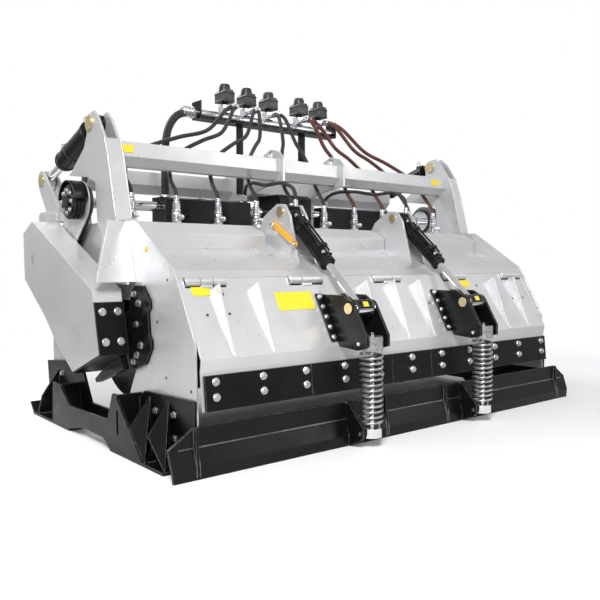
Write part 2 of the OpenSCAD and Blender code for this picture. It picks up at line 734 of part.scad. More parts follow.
module idler(i) {
    c = along(pivot, rotor_c, i * drive_len / 3);
    color(zinc) both() {
        gear_at(i);
        xbar(c, gear_bore_r, case_in + case_wall + seat, case_out - case_wall - seat);
    }
}
module upper_idlers() idler(1);
module lower_idlers() idler(2);
module rotor_gears() {
    color(zinc) both() difference() {
        gear_at(3);
        xbar(rotor_c, rotor_shaft_r + seat, case_in, case_out);
    }
}

// Rotor: a drum with end flanges and stub shafts, tooth holders on spirals and their teeth
drum_gap = 60;
drum_half = panel_in - drum_gap;
flange_t = 25;
holder_l = 70;
holder_w = 60;
holder_h = 62;
tooth_w = 24;
module rotor_drum() {
    color(black) difference() {
        xbar(rotor_c, drum_r, -drum_half, drum_half);
        xbar(rotor_c, drum_r - drum_wall, -drum_half + flange_t, drum_half - flange_t);
    }
}
// Stub shafts on both ends of the drum, through the slots into the side cases
module rotor_stubs() {
    color(chrome) both() xbar(rotor_c, rotor_shaft_r, drum_half + seat, case_out - case_wall - gap);
}
// Puts its children on the drum at every tooth holder, with Z pointing outwards
module on_drum() {
    pitch = 2 * (drum_half - holder_w) / (holders_per_row * spirals - 1);
    for (i = [0:holders_per_row * spirals - 1]) {
        side = i < holders_per_row * spirals / 2 ? 1 : -1;
        turn = side * i * 360 / holders_per_row * 1.5 + (i % spirals) * 360 / spirals;
        translate([-drum_half + holder_w + i * pitch, rotor_c[0], rotor_c[1]]) rotate([turn, 0, 0])
            translate([0, 0, drum_r]) children();
    }
}
tooth_y = 0.2 * holder_l;
tooth_z = 0.5 * holder_h;
module tooth_holders() {
    width = min(holder_w, 2 * drum_half / (holders_per_row * spirals));
    color(black) on_drum() difference() {
        translate([-width / 2, 0, 0]) rotate([90, 0, 90]) linear_extrude(width)
            polygon([[-holder_l / 2, seat], [-holder_l / 2, holder_h * 0.45], [0, holder_h],
                [holder_l / 2, holder_h * 0.8], [holder_l / 2, seat]]);
        translate([0, tooth_y, tooth_z - seat]) cylinder(r = tooth_w / 2 + seat, h = holder_h);
    }
}
module rotor_teeth() {
    tip = tip_r - drum_r - tooth_z;
    cone = 0.3 * tip;
    color("dimgray") on_drum() translate([0, tooth_y, tooth_z]) {
        cylinder(r = tooth_w / 2, h = tip - cone);
        translate([0, 0, tip - cone]) cylinder(r1 = tooth_w / 2, r2 = tooth_w / 8, h = cone);
    }
}

// Lift cylinders: barrels on the uprights, rods on the levers
lift_dir = (lever_end - lift_top) / norm(lever_end - lift_top);
lift_start = 80;
lift_eye_r = 42;
lift_eye_w = 2 * (lever_half - gap);
rod_eye_r = 50;
module lift_frame() {
    translate([lift_x, lift_top[0], lift_top[1]]) rotate([-atan2(lift_dir[0], lift_dir[1]), 0, 0]) children();
}
module lift_barrels() {
    cap_t = 20;
    color(black) both() lift_frame() difference() {
        union() {
            translate([0, 0, lift_start]) cylinder(r = lift_barrel_r, h = lift_barrel_len);
            translate([0, 0, lift_start + lift_barrel_len * 0.62]) cylinder(r = lift_barrel_r * 1.06, h = cap_t * 2);
            rotate([0, 90, 0]) cylinder(r = lift_eye_r, h = lift_eye_w, center = true);
            translate([-lift_eye_w / 2, -lift_eye_r * 0.8, 0]) cube([lift_eye_w, lift_eye_r * 1.6, lift_start + cut]);
        }
        rotate([0, 90, 0]) cylinder(r = lift_pin_r + run, h = 2 * lift_eye_w, center = true);
        translate([0, 0, lift_start + cap_t]) cylinder(r = lift_barrel_r * 0.75, h = lift_barrel_len - 2 * cap_t);
        translate([0, 0, lift_start + cap_t]) cylinder(r = lift_rod_r + run, h = lift_barrel_len);
    }
}
module lift_rods() {
    reach = norm(lever_end - lift_top);
    head_t = 30;
    inside = lift_start + lift_barrel_len * 0.55;
    color(chrome) both() lift_frame() difference() {
        union() {
            translate([0, 0, inside]) cylinder(r = lift_rod_r, h = reach - inside - rod_eye_r * 0.5);
            translate([0, 0, inside]) cylinder(r = lift_barrel_r * 0.75 - seat, h = head_t);
            translate([0, 0, reach]) rotate([0, 90, 0]) cylinder(r = rod_eye_r, h = lift_eye_w, center = true);
        }
        translate([0, 0, reach]) rotate([0, 90, 0])
            cylinder(r = lift_pin_r + lift_play, h = 2 * lift_eye_w, center = true);
    }
}

// Door: a bent skin with ribs, end flanges and hinge knuckles
door_low_share = [[-0.417, 0.385], [-0.4245, 0.235]];
rib_x_share = [-0.87, -0.705, -0.162, 0, 0.162, 0.705, 0.87];
rib_deep = 45;
rib_t = 10;
door_down = (door_bend - hinge_c) / norm(door_bend - hinge_c);
door_out = [door_down[1], -door_down[0]];
door_top = hinge_c + door_down * (knuckle_r + 2 * gap);
hinge_zone = 1.5 * knuckle_len + 2 * gap;
module rear_door() {
    points = concat([door_top, door_bend], outline(door_low_share));
    rib_top = hinge_c + door_down * knuckle_r * 1.6;
    color(steel) difference() {
        union() {
            bent_strip(points, door_t, -door_half, 2 * door_half);
            for (s = rib_x_share)
                side_plate([rib_top, rib_top + door_out * rib_deep, door_bend + door_out * seat, door_bend],
                    s * door_half - rib_t / 2, rib_t);
            for (i = [0:hinges - 1]) side_shape(hinge_x(i) - knuckle_len / 2 + gap / 2, knuckle_len - gap) {
                translate(hinge_c) circle(r = knuckle_r);
                flat_bar(hinge_c, door_top - door_out * door_t / 2 + door_down, door_t);
            }
            for (i = [0:hinges]) {
                x0 = i == 0 ? -door_half : hinge_x(i - 1) + hinge_zone;
                x1 = i == hinges ? door_half : hinge_x(i) - hinge_zone;
                bent_strip([hinge_c - door_down * (knuckle_r - gap), door_top + door_down], door_t, x0, x1 - x0);
            }
        }
        for (i = [0:hinges - 1])
            xbar(hinge_c, hinge_r + run, hinge_x(i) - hinge_zone, hinge_x(i) + hinge_zone);
        bolt_places() cylinder(r = shank_r + seat, h = 4 * (wear_t + door_t), center = true);
    }
}
module door_hinge_pins() {
    half = 1.5 * knuckle_len + gap;
    color(zinc) for (i = [0:hinges - 1]) xbar(hinge_c, hinge_r, hinge_x(i) - half, hinge_x(i) + half);
}
// Wear plates: five bolt-on plates along the door's lower edge
wear_edge_share = [-0.994, -0.544, -0.119, 0.119, 0.544, 0.994];
wear_bolt_share = [0, 0.19, 0.3785, 0.569, 0.76, 0.952];
wear_rows_share = [0.19, 0.62];
wear_inset = 13;
wear_top = along(yz(door_low_share[0]), yz(door_low_share[1]), wear_inset);
wear_low = yz(door_low_share[1]);
wear_lean = atan2(wear_top[0] - wear_low[0], wear_top[1] - wear_low[1]);
flap_t = 8;
flap_lap = 75;
flap_drop = 60;
module bolt_places() {
    for (s = wear_bolt_share, m = [-1, 1], d = wear_rows_share) if (s > 0 || m > 0) {
        c = along(wear_top, wear_low, d * norm(wear_top - wear_low));
        translate([m * s * door_half, c[0], c[1]]) rotate([90 - wear_lean, 0, 0]) children();
    }
}
module wear_plates() {
    out = [-cos(wear_lean), sin(wear_lean)];
    back = [wear_top, wear_low] + [out * seat, out * seat];
    color(black) difference() {
        for (i = [0:len(wear_edge_share) - 2]) {
            x0 = wear_edge_share[i] * door_half + gap / 2;
            x1 = wear_edge_share[i + 1] * door_half - gap / 2;
            side_plate(concat(back, [back[1] + out * wear_t, back[0] + out * wear_t]), x0, x1 - x0);
        }
        down = (wear_low - wear_top) / norm(wear_low - wear_top);
        inner = wear_low - out * (door_t + seat);
        flap = [inner - down * flap_lap, inner + down * flap_drop];
        side_plate(concat(flap, [flap[1] - out * flap_t, flap[0] - out * flap_t]), -door_half, 2 * door_half);
        bolt_places() cylinder(r = shank_r + seat, h = 4 * (wear_t + door_t), center = true);
    }
}
module wear_bolts() {
    color(zinc) bolt_places() {
        translate([0, 0, wear_t + 2 * seat]) hex_head(bolt_r, bolt_h);
        translate([0, 0, -door_t - flap_t]) cylinder(r = shank_r, h = wear_t + door_t + flap_t + 3 * seat);
    }
}

// Spring brackets: twin black plates on the door that hold the cups and the rod pins
plate_half = 60;
bracket_t = 12;
cup_share = [-0.485, 0.455];
bracket_share = [[-0.3565, 0.66], [-0.43, 0.66], [-0.4665, 0.62], [-0.505, 0.49], [-0.505, 0.44],
    [-0.4785, 0.425], [-0.4215, 0.4335]];
ear_r = 36;
cup_bolt_r = 8;
module spring_brackets() {
    color(black) both() difference() {
        union() {
            for (x = [spring_x - plate_half - bracket_t, spring_x + plate_half]) side_shape(x, bracket_t)
                difference() {
                    union() {
                        polygon(outline(bracket_share));
                        translate(door_pin_low) circle(r = ear_r);
                    }
                    polygon([hinge_c - door_out * frame_len + door_out * seat, door_bend - door_out * frame_len,
                        door_bend + door_out * seat, hinge_c + door_out * seat]);
                }
        }
        xbar(door_pin_low, door_pin_r + run, spring_x - 2 * plate_half, spring_x + 2 * plate_half);
        xbar(yz(cup_share), cup_bolt_r + run, spring_x - 2 * plate_half, spring_x + 2 * plate_half);
    }
}
cup_r = 50;
cup_h = 62;
low_cup_h = 40;
low_cup_z = 45;
module upper_cups() {
    c = yz(cup_share);
    tab = plate_half + bracket_t + bolt_h;
    color(zinc) both() difference() {
        union() {
            translate([spring_x, spring_y, c[1] - cup_h / 2]) cylinder(r = cup_r, h = cup_h);
            xbar(c, cup_bolt_r, spring_x - tab, spring_x + tab);
        }
        translate([spring_x, spring_y, c[1] - cup_h]) cylinder(r = guide_r + seat, h = 2 * cup_h);
    }
}
module rod_pins() {
    head_t = 5;
    end = plate_half + bracket_t + head_t;
    color("goldenrod") both() {
        xbar(door_pin_low, door_pin_r, spring_x - end, spring_x + end);
        for (x = [spring_x - end, spring_x + end - head_t + seat])
            xring(door_pin_low, door_pin_r * 1.6, door_pin_r + seat, x, x + head_t - seat);
    }
}

// Guide rods: pinned to the blade's lugs, they carry the lower cups and slide in the upper ones
rod_top_share = 0.5;
lug_side = spring_r + gap / 2 + blade_t / 2;
module guide_rods() {
    color(chrome) for (m = [-1, 1]) translate([m * spring_x, spring_y, 0]) {
        translate([0, 0, low_cup_z]) cylinder(r = cup_r * 0.92, h = low_cup_h);
        translate([0, 0, spring_low - cut]) cylinder(r = guide_r, h = rod_top_share * frame_h - spring_low + cut);
        translate([-lug_side - lug_pin_head, 0, low_cup_z + low_cup_h / 2]) rotate([0, 90, 0])
            cylinder(r = cup_bolt_r, h = lug_side + lug_pin_head);
    }
}
lug_pin_head = 14;

// Springs: one unbroken tube each, straight for one wire diameter at both ends
turn_steps = 8;
wire_sides = 6;
spring_low = low_cup_z + low_cup_h;
spring_high = yz(cup_share)[1] - cup_h / 2;
coil_r = spring_r - wire_r;
function coil_point(i, n) = let (t = i / n) [coil_r * cos(360 * spring_turns * t),
    coil_r * sin(360 * spring_turns * t), spring_low + 2 * wire_r + (spring_high - spring_low - 4 * wire_r) * t];
function coil_path() = let (n = ceil(spring_turns * turn_steps)) concat(
    [[coil_r, 0, spring_low + seat]], [for (i = [0:n]) coil_point(i, n)],
    [coil_point(n, n) + [0, 0, 2 * wire_r - seat]]);
// A tube of radius r and n sides swept along a path, with a chosen side direction
module tube(path, r, n, up) {
    rings = [for (i = [0:len(path) - 1]) let (
        d = unit(i == 0 ? path[1] - path[0] : i == len(path) - 1 ? path[i] - path[i - 1] : path[i + 1] - path[i - 1]),
        s = unit(cross(d, up)),
        t = cross(d, s)) [for (k = [0:n - 1]) path[i] + r * (s * cos(360 * k / n) + t * sin(360 * k / n))]];
    count = len(rings);
    faces = concat(
        [[for (k = [0:n - 1]) k]],
        [for (i = [0:count - 2], k = [0:n - 1], f = [0, 1]) let (
            a = i * n + k, b = i * n + (k + 1) % n) f == 0 ? [a, a + n, b] : [b, a + n, b + n]],
        [[for (k = [n - 1:-1:0]) (count - 1) * n + k]]);
    polyhedron(points = [for (g = rings) each g], faces = faces);
}
function unit(v) = v / norm(v);
module spring(side) {
    path = coil_path();
    echo(spring_gap = (spring_high - spring_low - 4 * wire_r) / spring_turns - 2 * wire_r);
    color(zinc) translate([side * spring_x, spring_y, 0]) tube(path, wire_r, wire_sides, [0.11, 0.07, 1]);
}
module left_spring() spring(-1);
module right_spring() spring(1);

// Door cylinders: barrels on the deck's brackets, rods on the spring brackets
post_half = 45;
post_t = 12;
post_share = [[-0.1, 0.932], [-0.13, 1.03], [-0.185, 1.09], [-0.215, 1.085], [-0.235, 1.03], [-0.27, 0.8],
    [-0.225, 0.8325], [-0.18, 0.8605]];
module cylinder_brackets() {
    color(steel) translate([-spring_x - post_half - post_t - gap - 2 * lever_bore_r, 0, 0])
        xbar(yz(lever_pivot_share), lever_bore_r, 0, gap + 2 * lever_bore_r + cut);
    color(steel) both() difference() {
        for (x = [spring_x - post_half - post_t, spring_x + post_half]) side_plate(outline(post_share), x, post_t);
        xbar(door_pin_top, door_pin_r + run, spring_x - 2 * post_half, spring_x + 2 * post_half);
        side_shape(spring_x - 2 * post_half, 4 * post_half) offset(delta = seat)
            polygon(concat(outline(hood_share), [[frame_len * 0.15, 0]]));
    }
}
module cylinder_pins() {
    head_t = 8;
    color("goldenrod") both() {
        for (p = [[lift_top, lift_pin_r, fin_in_x, fin_out_x + fin_t],
            [door_pin_top, door_pin_r, spring_x - post_half - post_t, spring_x + post_half + post_t]]) {
            xbar(p[0], p[1], p[2] - head_t, p[3] + head_t);
            xring(p[0], p[1] * 1.6, p[1] + seat, p[2] - head_t, p[2] - seat);
            xring(p[0], p[1] * 1.6, p[1] + seat, p[3] + seat, p[3] + head_t);
        }
    }
}
door_dir = (door_pin_low - door_pin_top) / norm(door_pin_low - door_pin_top);
door_barrel_start = 30;
door_barrel_len = 350;
door_eye_r = 34;
eye_offset = 5.5;
module door_cylinder_frame() {
    translate([spring_x, door_pin_top[0], door_pin_top[1]])
        rotate([atan2(-door_dir[0], door_dir[1]), 0, 0]) children();
}
module door_barrels() {
    cap_t = 16;
    eye_w = 2 * (post_half - gap);
    color(black) both() door_cylinder_frame() difference() {
        union() {
            translate([0, 0, door_barrel_start]) cylinder(r = door_barrel_r, h = door_barrel_len);
            translate([0, 0, door_barrel_start + door_barrel_len - cap_t]) cylinder(r = door_barrel_r * 1.1, h = cap_t);
            rotate([0, 90, 0]) cylinder(r = door_barrel_r, h = eye_w, center = true);
            translate([-eye_w / 2, -door_barrel_r * 0.7, 0]) cube([eye_w, door_barrel_r * 1.4, door_barrel_start + cap_t]);
        }
        rotate([0, 90, 0]) cylinder(r = door_pin_r + run, h = 2 * eye_w, center = true);
        translate([0, 0, door_barrel_start + cap_t]) cylinder(r = door_barrel_r * 0.8, h = door_barrel_len - 2 * cap_t);
        translate([0, 0, door_barrel_start + cap_t]) cylinder(r = door_rod_r + run, h = door_barrel_len);
    }
}
module door_rods() {
    reach = norm(door_pin_low - door_pin_top) + eye_offset;
    inside = door_barrel_start + door_barrel_len * 0.6;
    piston_t = 25;
    color(chrome) both() door_cylinder_frame() difference() {
        union() {
            translate([0, 0, inside]) cylinder(r = door_rod_r, h = reach - inside - door_eye_r * 0.7);
            translate([0, 0, inside]) cylinder(r = door_barrel_r * 0.8 - seat, h = piston_t);
            translate([0, 0, reach]) rotate([0, 90, 0]) cylinder(r = door_eye_r, h = 2 * (plate_half - gap), center = true);
        }
        translate([0, 0, reach]) rotate([0, 90, 0])
            cylinder(r = door_pin_r + door_play, h = 4 * plate_half, center = true);
    }
}
lever_pivot_share = [-0.18, 0.99];
lever_tip_share = [-0.262, 0.89];
lever_w = 14;
lever_bore_r = 8;
module bracket_lever() {
    x = -(spring_x + post_half + post_t + gap + lever_bore_r);
    color("orange") difference() {
        side_shape(x, lever_bore_r) {
            translate(yz(lever_pivot_share)) circle(r = lever_w * 1.3);
            flat_bar(yz(lever_pivot_share), yz(lever_tip_share), lever_w);
            translate(yz(lever_tip_share)) circle(r = lever_w);
        }
        xbar(yz(lever_pivot_share), lever_bore_r + run, x - cut, x + lever_bore_r + cut);
    }
}

// Levelling blade: a bent plate with flared ends, gussets and the lugs for the springs
blade_share = [[-0.438, 0.192], [-0.438, 0.115], [-0.45, 0.045], [-0.45, 0]];
blade_end_share = [[0.919, 0.192], [1, 0.122], [1, 0.07], [0.994, 0]];
blade_gusset_share = [0.157, 0.911];
blade_lug_share = [[-0.438, 0.19], [-0.452, 0.18], [-0.4935, 0.09], [-0.4945, 0.06], [-0.488, 0.035], [-0.45, 0]];
module levelling_blade() {
    points = outline(blade_share);
    half = blade_w / 2;
    ends = [for (s = blade_end_share) [s[0] * half, s[1] * frame_h]];
    left = [for (i = [len(ends) - 1:-1:0]) [-ends[i][0], ends[i][1]]];
    color(black) difference() {
        union() {
            intersection() {
                bent_strip(points, blade_t, -half, 2 * half);
                translate([0, frame_len, 0]) rotate([90, 0, 0]) linear_extrude(2 * frame_len) polygon(concat(ends, left));
            }
            both() for (s = blade_gusset_share)
                side_plate([points[0], points[0] - [blade_t, 0], points[3], points[2], points[1]], s * half, blade_t);
            for (m = [-1, 1])
                side_plate(outline(blade_lug_share), m * spring_x - lug_side - blade_t / 2, blade_t);
        }
        for (m = [-1, 1]) translate([m * spring_x - lug_side - blade_t, spring_y, low_cup_z + low_cup_h / 2])
            rotate([0, 90, 0]) cylinder(r = cup_bolt_r + run, h = 2 * blade_t);
    }
}

// Water system: rack, manifold, valves with their drives, nozzles and hoses
rack_w = 1000;
rack_y = 0.135 * frame_len;
rack_z = 1.6 * frame_h;
rack_t = 8;
rack_deep = 90;
rack_foot_share = 1.2;
valve_x_share = [-0.333, -0.183, -0.025, 0.21, 0.364];
body_w = 52;
body_h = 42;
outlet_r = 12;
outlet_len = 40;
manifold_z = rack_z + manifold_r + seat;
valve_z = manifold_z + manifold_r + seat;
module valve_rack() {
    color(black) {
        translate([-0.52 * rack_w, rack_y - rack_deep / 2, rack_z - rack_t]) cube([rack_w, rack_deep, rack_t]);
        for (e = [-0.52 * rack_w, 0.48 * rack_w - rack_t])
            difference() {
                translate([e, rack_y - rack_deep / 2, rack_z - cut]) cube([rack_t, rack_deep, 2 * manifold_r + body_h]);
                translate([e - cut, rack_y, manifold_z]) rotate([0, 90, 0])
                    cylinder(r = manifold_r + seat, h = rack_t + 2 * cut);
            }
        both() translate([lug_x + lug_t / 2 + seat, rack_y - rack_deep / 3, rack_foot_share * frame_h])
            cube([rack_t, rack_deep * 2 / 3, rack_z - rack_foot_share * frame_h]);
    }
}
module water_manifold() {
    color(zinc) xbar([rack_y, manifold_z], manifold_r, -0.53 * rack_w, 0.49 * rack_w);
}
module valve_bodies() {
    color(zinc) for (s = valve_x_share) translate([s * rack_w, rack_y, valve_z]) {
        translate([-body_w / 2, -body_w / 2, 0]) cube([body_w, body_w, body_h]);
        for (m = [-1, 1]) translate([m * body_w / 4, -body_w / 2 + cut, body_h / 2]) rotate([90, 0, 0])
            cylinder(r = outlet_r, h = outlet_len);
    }
}
drive_w = 74;
drive_deep = 92;
drive_h = 84;
module valve_drives() {
    color(black) for (s = valve_x_share) translate([s * rack_w, rack_y, valve_z + body_h + seat]) {
        cylinder(r = body_w / 3, h = drive_h / 5);
        translate([0, 0, drive_h / 5 - seat]) rotate([90, 0, 0]) linear_extrude(drive_deep, center = true)
            polygon([[-drive_w / 2, 0], [-drive_w / 2, drive_h * 0.6], [-drive_w / 3, drive_h * 0.8],
                [drive_w / 3, drive_h * 0.8], [drive_w / 2, drive_h * 0.6], [drive_w / 2, 0]]);
    }
}
fitting_h = 105;
fitting_r = 19;
feed_x = -0.7 * rack_w;
feed_y = 0.15 * frame_len;
feed_r = 22;
module nozzle_fittings() {
    color(zinc) {
        for (k = [0:nozzles - 1]) translate([nozzle_x(k), nozzle_y, 0]) {
            translate([0, 0, deck_z - 3 * hood_t]) cylinder(r = nozzle_bore_r - seat, h = fitting_h);
            translate([0, 0, deck_z + seat]) cylinder(r = fitting_r * 1.3, h = fitting_r, $fn = 6);
            translate([0, 0, deck_z + fitting_r]) cylinder(r = fitting_r * 0.8, h = fitting_h - fitting_r * 2);
            translate([0, 0, deck_z + fitting_h - fitting_r * 1.5]) cylinder(r = fitting_r, h = fitting_r * 1.5 - seat);
        }
        translate([feed_x, feed_y, deck_z + seat]) {
            cylinder(r = feed_r * 1.5, h = feed_r, $fn = 6);
            cylinder(r = feed_r, h = fitting_h - seat);
        }
    }
}
// Routes of the hoses: straight out of both ends, and between them through the shares
// [of the way across, y of frame_len, z of frame_h]; a smooth curve runs through each
hose_lead = 25;
fitting_top = deck_z + fitting_h;
water_share = [[0.1, 0.067, 1.63], [0.3, 0.04, 1.5], [0.55, 0.03, 1.44], [0.8, 0.0225, 1.37],
    [0.95, 0.015, 1.29], [1, -0.005, 1.215], [1, -0.0275, 1.16]];
feed_share = [[0.2, 0.135, 1.624], [0.646, 0.136, 1.596], [0.94, 0.139, 1.52], [1.03, 0.144, 1.4],
    [1.012, 0.1485, 1.27], [1, 0.15, 1.16]];
function middle(x0, x1, shares) = [for (s = shares) [x0 + (x1 - x0) * s[0], s[1] * frame_len, s[2] * frame_h]];
function rise(x, y, z) = [for (s = [1.4, 0.64, 0]) [x, y, z + s * hose_lead]];
function water_route(k) = let (
    x0 = valve_x_share[min(floor(k / 2), len(valve_x_share) - 1)] * rack_w + (k % 2 == 0 ? -1 : 1) * body_w / 4,
    y0 = rack_y - body_w / 2 - outlet_len, z0 = valve_z + body_h / 2)
    concat([for (d = [seat - cut, hose_lead / 2, hose_lead]) [x0, y0 - d, z0]],
        middle(x0, nozzle_x(k), water_share), rise(nozzle_x(k), nozzle_y, fitting_top));
feed_start = -0.53 * rack_w - 2 * seat;
feed_route = concat([for (d = [0, 0.6 * hose_lead]) [feed_start - d, rack_y, manifold_z]],
    middle(feed_start, feed_x, feed_share), rise(feed_x, feed_y, fitting_top + seat));
// Catmull-Rom curve through the points, with steps rings between two of them
function smooth(p, steps) = concat([for (i = [0:len(p) - 2], j = [0:steps - 1]) let (
    a = p[max(i - 1, 0)], b = p[i], c = p[i + 1], d = p[min(i + 2, len(p) - 1)], t = j / steps)
    0.5 * (2 * b + (c - a) * t + (2 * a - 5 * b + 4 * c - d) * t * t + (3 * b - a - 3 * c + d) * t * t * t)],
    [p[len(p) - 1]]);
module water_hoses() {
    color("#1c1c1c") for (k = [0:nozzles - 1]) tube(smooth(water_route(k), 2), hose_r, 8, [0.3, 1, 0.2]);
}
module feed_hoses() {
    color("#1c1c1c") tube(smooth(feed_route, 3), feed_r, 8, [0.3, 1, 0.2]);
}

left_side_panel();
right_side_panel();
hood_shell();
hood_beams();
left_upright();
right_upright();
rear_crossbar();
front_crossbar();
slot_guards();
left_skid();
right_skid();
frame_bolts();
hitch_frame();
hitch_pins();
gearbox_housing();
drive_guards();
drive_belts();
belt_covers();
pivot_axles();
cylinder_pins();
door_hinge_pins();
cylinder_brackets();
bracket_lever();
valve_rack();
water_manifold();
valve_bodies();
valve_drives();
nozzle_fittings();
water_hoses();
feed_hoses();
pto_shaft();
cross_shafts();
torque_limiters();
left_drive_case();
right_drive_case();
case_covers();
case_bolts();
arm_levers();
arm_pins();
input_gears();
upper_idlers();
lower_idlers();
rotor_drum();
rotor_stubs();
rotor_gears();
tooth_holders();
rotor_teeth();
lift_barrels();
lift_rods();
rear_door();
wear_plates();
wear_bolts();
spring_brackets();
upper_cups();
rod_pins();
door_barrels();
door_rods();
levelling_blade();
guide_rods();
left_spring();
right_spring();
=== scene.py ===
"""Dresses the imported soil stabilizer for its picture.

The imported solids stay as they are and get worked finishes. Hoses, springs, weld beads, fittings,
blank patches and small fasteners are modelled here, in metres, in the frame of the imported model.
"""

from __future__ import annotations

import json
import logging
import math
from collections.abc import Sequence
from dataclasses import dataclass, field
from enum import Enum

import bmesh
import bpy
from mathutils import Matrix, Vector

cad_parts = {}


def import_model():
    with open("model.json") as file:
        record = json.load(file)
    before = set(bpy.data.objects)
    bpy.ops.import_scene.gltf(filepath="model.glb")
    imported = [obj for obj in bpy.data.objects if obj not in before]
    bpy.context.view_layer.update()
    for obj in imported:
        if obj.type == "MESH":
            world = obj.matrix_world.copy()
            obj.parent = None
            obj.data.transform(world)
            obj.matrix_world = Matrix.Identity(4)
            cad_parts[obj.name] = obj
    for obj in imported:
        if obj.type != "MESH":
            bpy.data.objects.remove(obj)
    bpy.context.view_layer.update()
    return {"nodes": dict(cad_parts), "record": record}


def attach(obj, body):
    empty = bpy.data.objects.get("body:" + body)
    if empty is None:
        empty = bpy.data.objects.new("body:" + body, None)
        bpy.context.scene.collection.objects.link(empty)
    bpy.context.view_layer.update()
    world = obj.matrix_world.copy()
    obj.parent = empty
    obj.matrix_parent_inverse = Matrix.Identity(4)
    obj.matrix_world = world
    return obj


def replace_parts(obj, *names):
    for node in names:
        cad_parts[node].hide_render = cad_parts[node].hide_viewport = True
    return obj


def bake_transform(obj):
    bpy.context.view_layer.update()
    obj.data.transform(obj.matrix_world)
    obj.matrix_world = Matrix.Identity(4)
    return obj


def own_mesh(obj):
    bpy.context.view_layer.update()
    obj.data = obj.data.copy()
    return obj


LOG = logging.getLogger("soil_stabilizer")
Colour = tuple[float, float, float]
Place = tuple[float, float, float]
Spot = tuple[float, float]
Spots = Sequence[Spot]
Places = Sequence[Place]
Socket = bpy.types.NodeSocket
Form = bmesh.types.BMesh
Piece = bpy.types.Object
RIGHT, BACK, UP = Vector((1, 0, 0)), Vector((0, -1, 0)), Vector((0, 0, 1))
DOOR_HINGE = Vector((0, -0.674, 0.727))
DOOR_DOWN = Vector((0, -0.494, -0.8695))
DOOR_OUT = Vector((0, -0.8695, 0.494))
DOOR_TURN = Matrix((RIGHT, -DOOR_DOWN, DOOR_OUT)).transposed()
SAME_PLACE = 1e-6
SHARP_FROM = math.radians(38)
SIDES = ((-1, "left"), (1, "right"))


def placed(name: str, data: bpy.types.ID) -> Piece:
    """Makes an object of some data and puts it in the scene."""
    piece = bpy.data.objects.new(name, data)
    bpy.context.scene.collection.objects.link(piece)
    return piece


class Net:
    """Adds and joins the nodes of one node tree."""

    def __init__(self, tree: bpy.types.NodeTree) -> None:
        """Takes the tree that the nodes go into.

        Args:
            tree: The node tree of a material or of the world.
        """
        self.nodes, self.links = tree.nodes, tree.links

    def add(self, kind: str, **settings: object) -> bpy.types.Node:
        """Adds a node.

        Args:
            kind: The node's type.
            **settings: Properties of the node.

        Returns:
            The new node.
        """
        node = self.nodes.new(kind)
        for key, value in settings.items():
            setattr(node, key, value)
        return node

    def join(self, source: Socket, target: Socket) -> None:
        """Links one socket to another."""
        self.links.new(source, target)

    def spread(self, value: Socket, low: float, high: float, to_low: float = 0.0,
               to_high: float = 1.0) -> Socket:
        """Maps a value from one span to another, held to the new span.

        Args:
            value: The socket that is mapped.
            low: Start of the old span.
            high: End of the old span.
            to_low: Start of the new span.
            to_high: End of the new span.

        Returns:
            The mapped socket.
        """
        node = self.add("ShaderNodeMapRange")
        for name, number in zip(("From Min", "From Max", "To Min", "To Max"), (low, high, to_low, to_high)):
            node.inputs[name].default_value = number
        self.join(value, node.inputs["Value"])
        return node.outputs["Result"]

    def times(self, first: Socket, second: object, operation: str = "MULTIPLY") -> Socket:
        """Works out a product, or another sum, of two values.

        Args:
            first: A socket.
            second: A socket or a number.
            operation: The kind of sum.

        Returns:
            The socket with the result.
        """
        node = self.add("ShaderNodeMath", operation=operation)
        self.join(first, node.inputs[0])
        if isinstance(second, Socket):
            self.join(second, node.inputs[1])
        else:
            node.inputs[1].default_value = second
        return node.outputs[0]


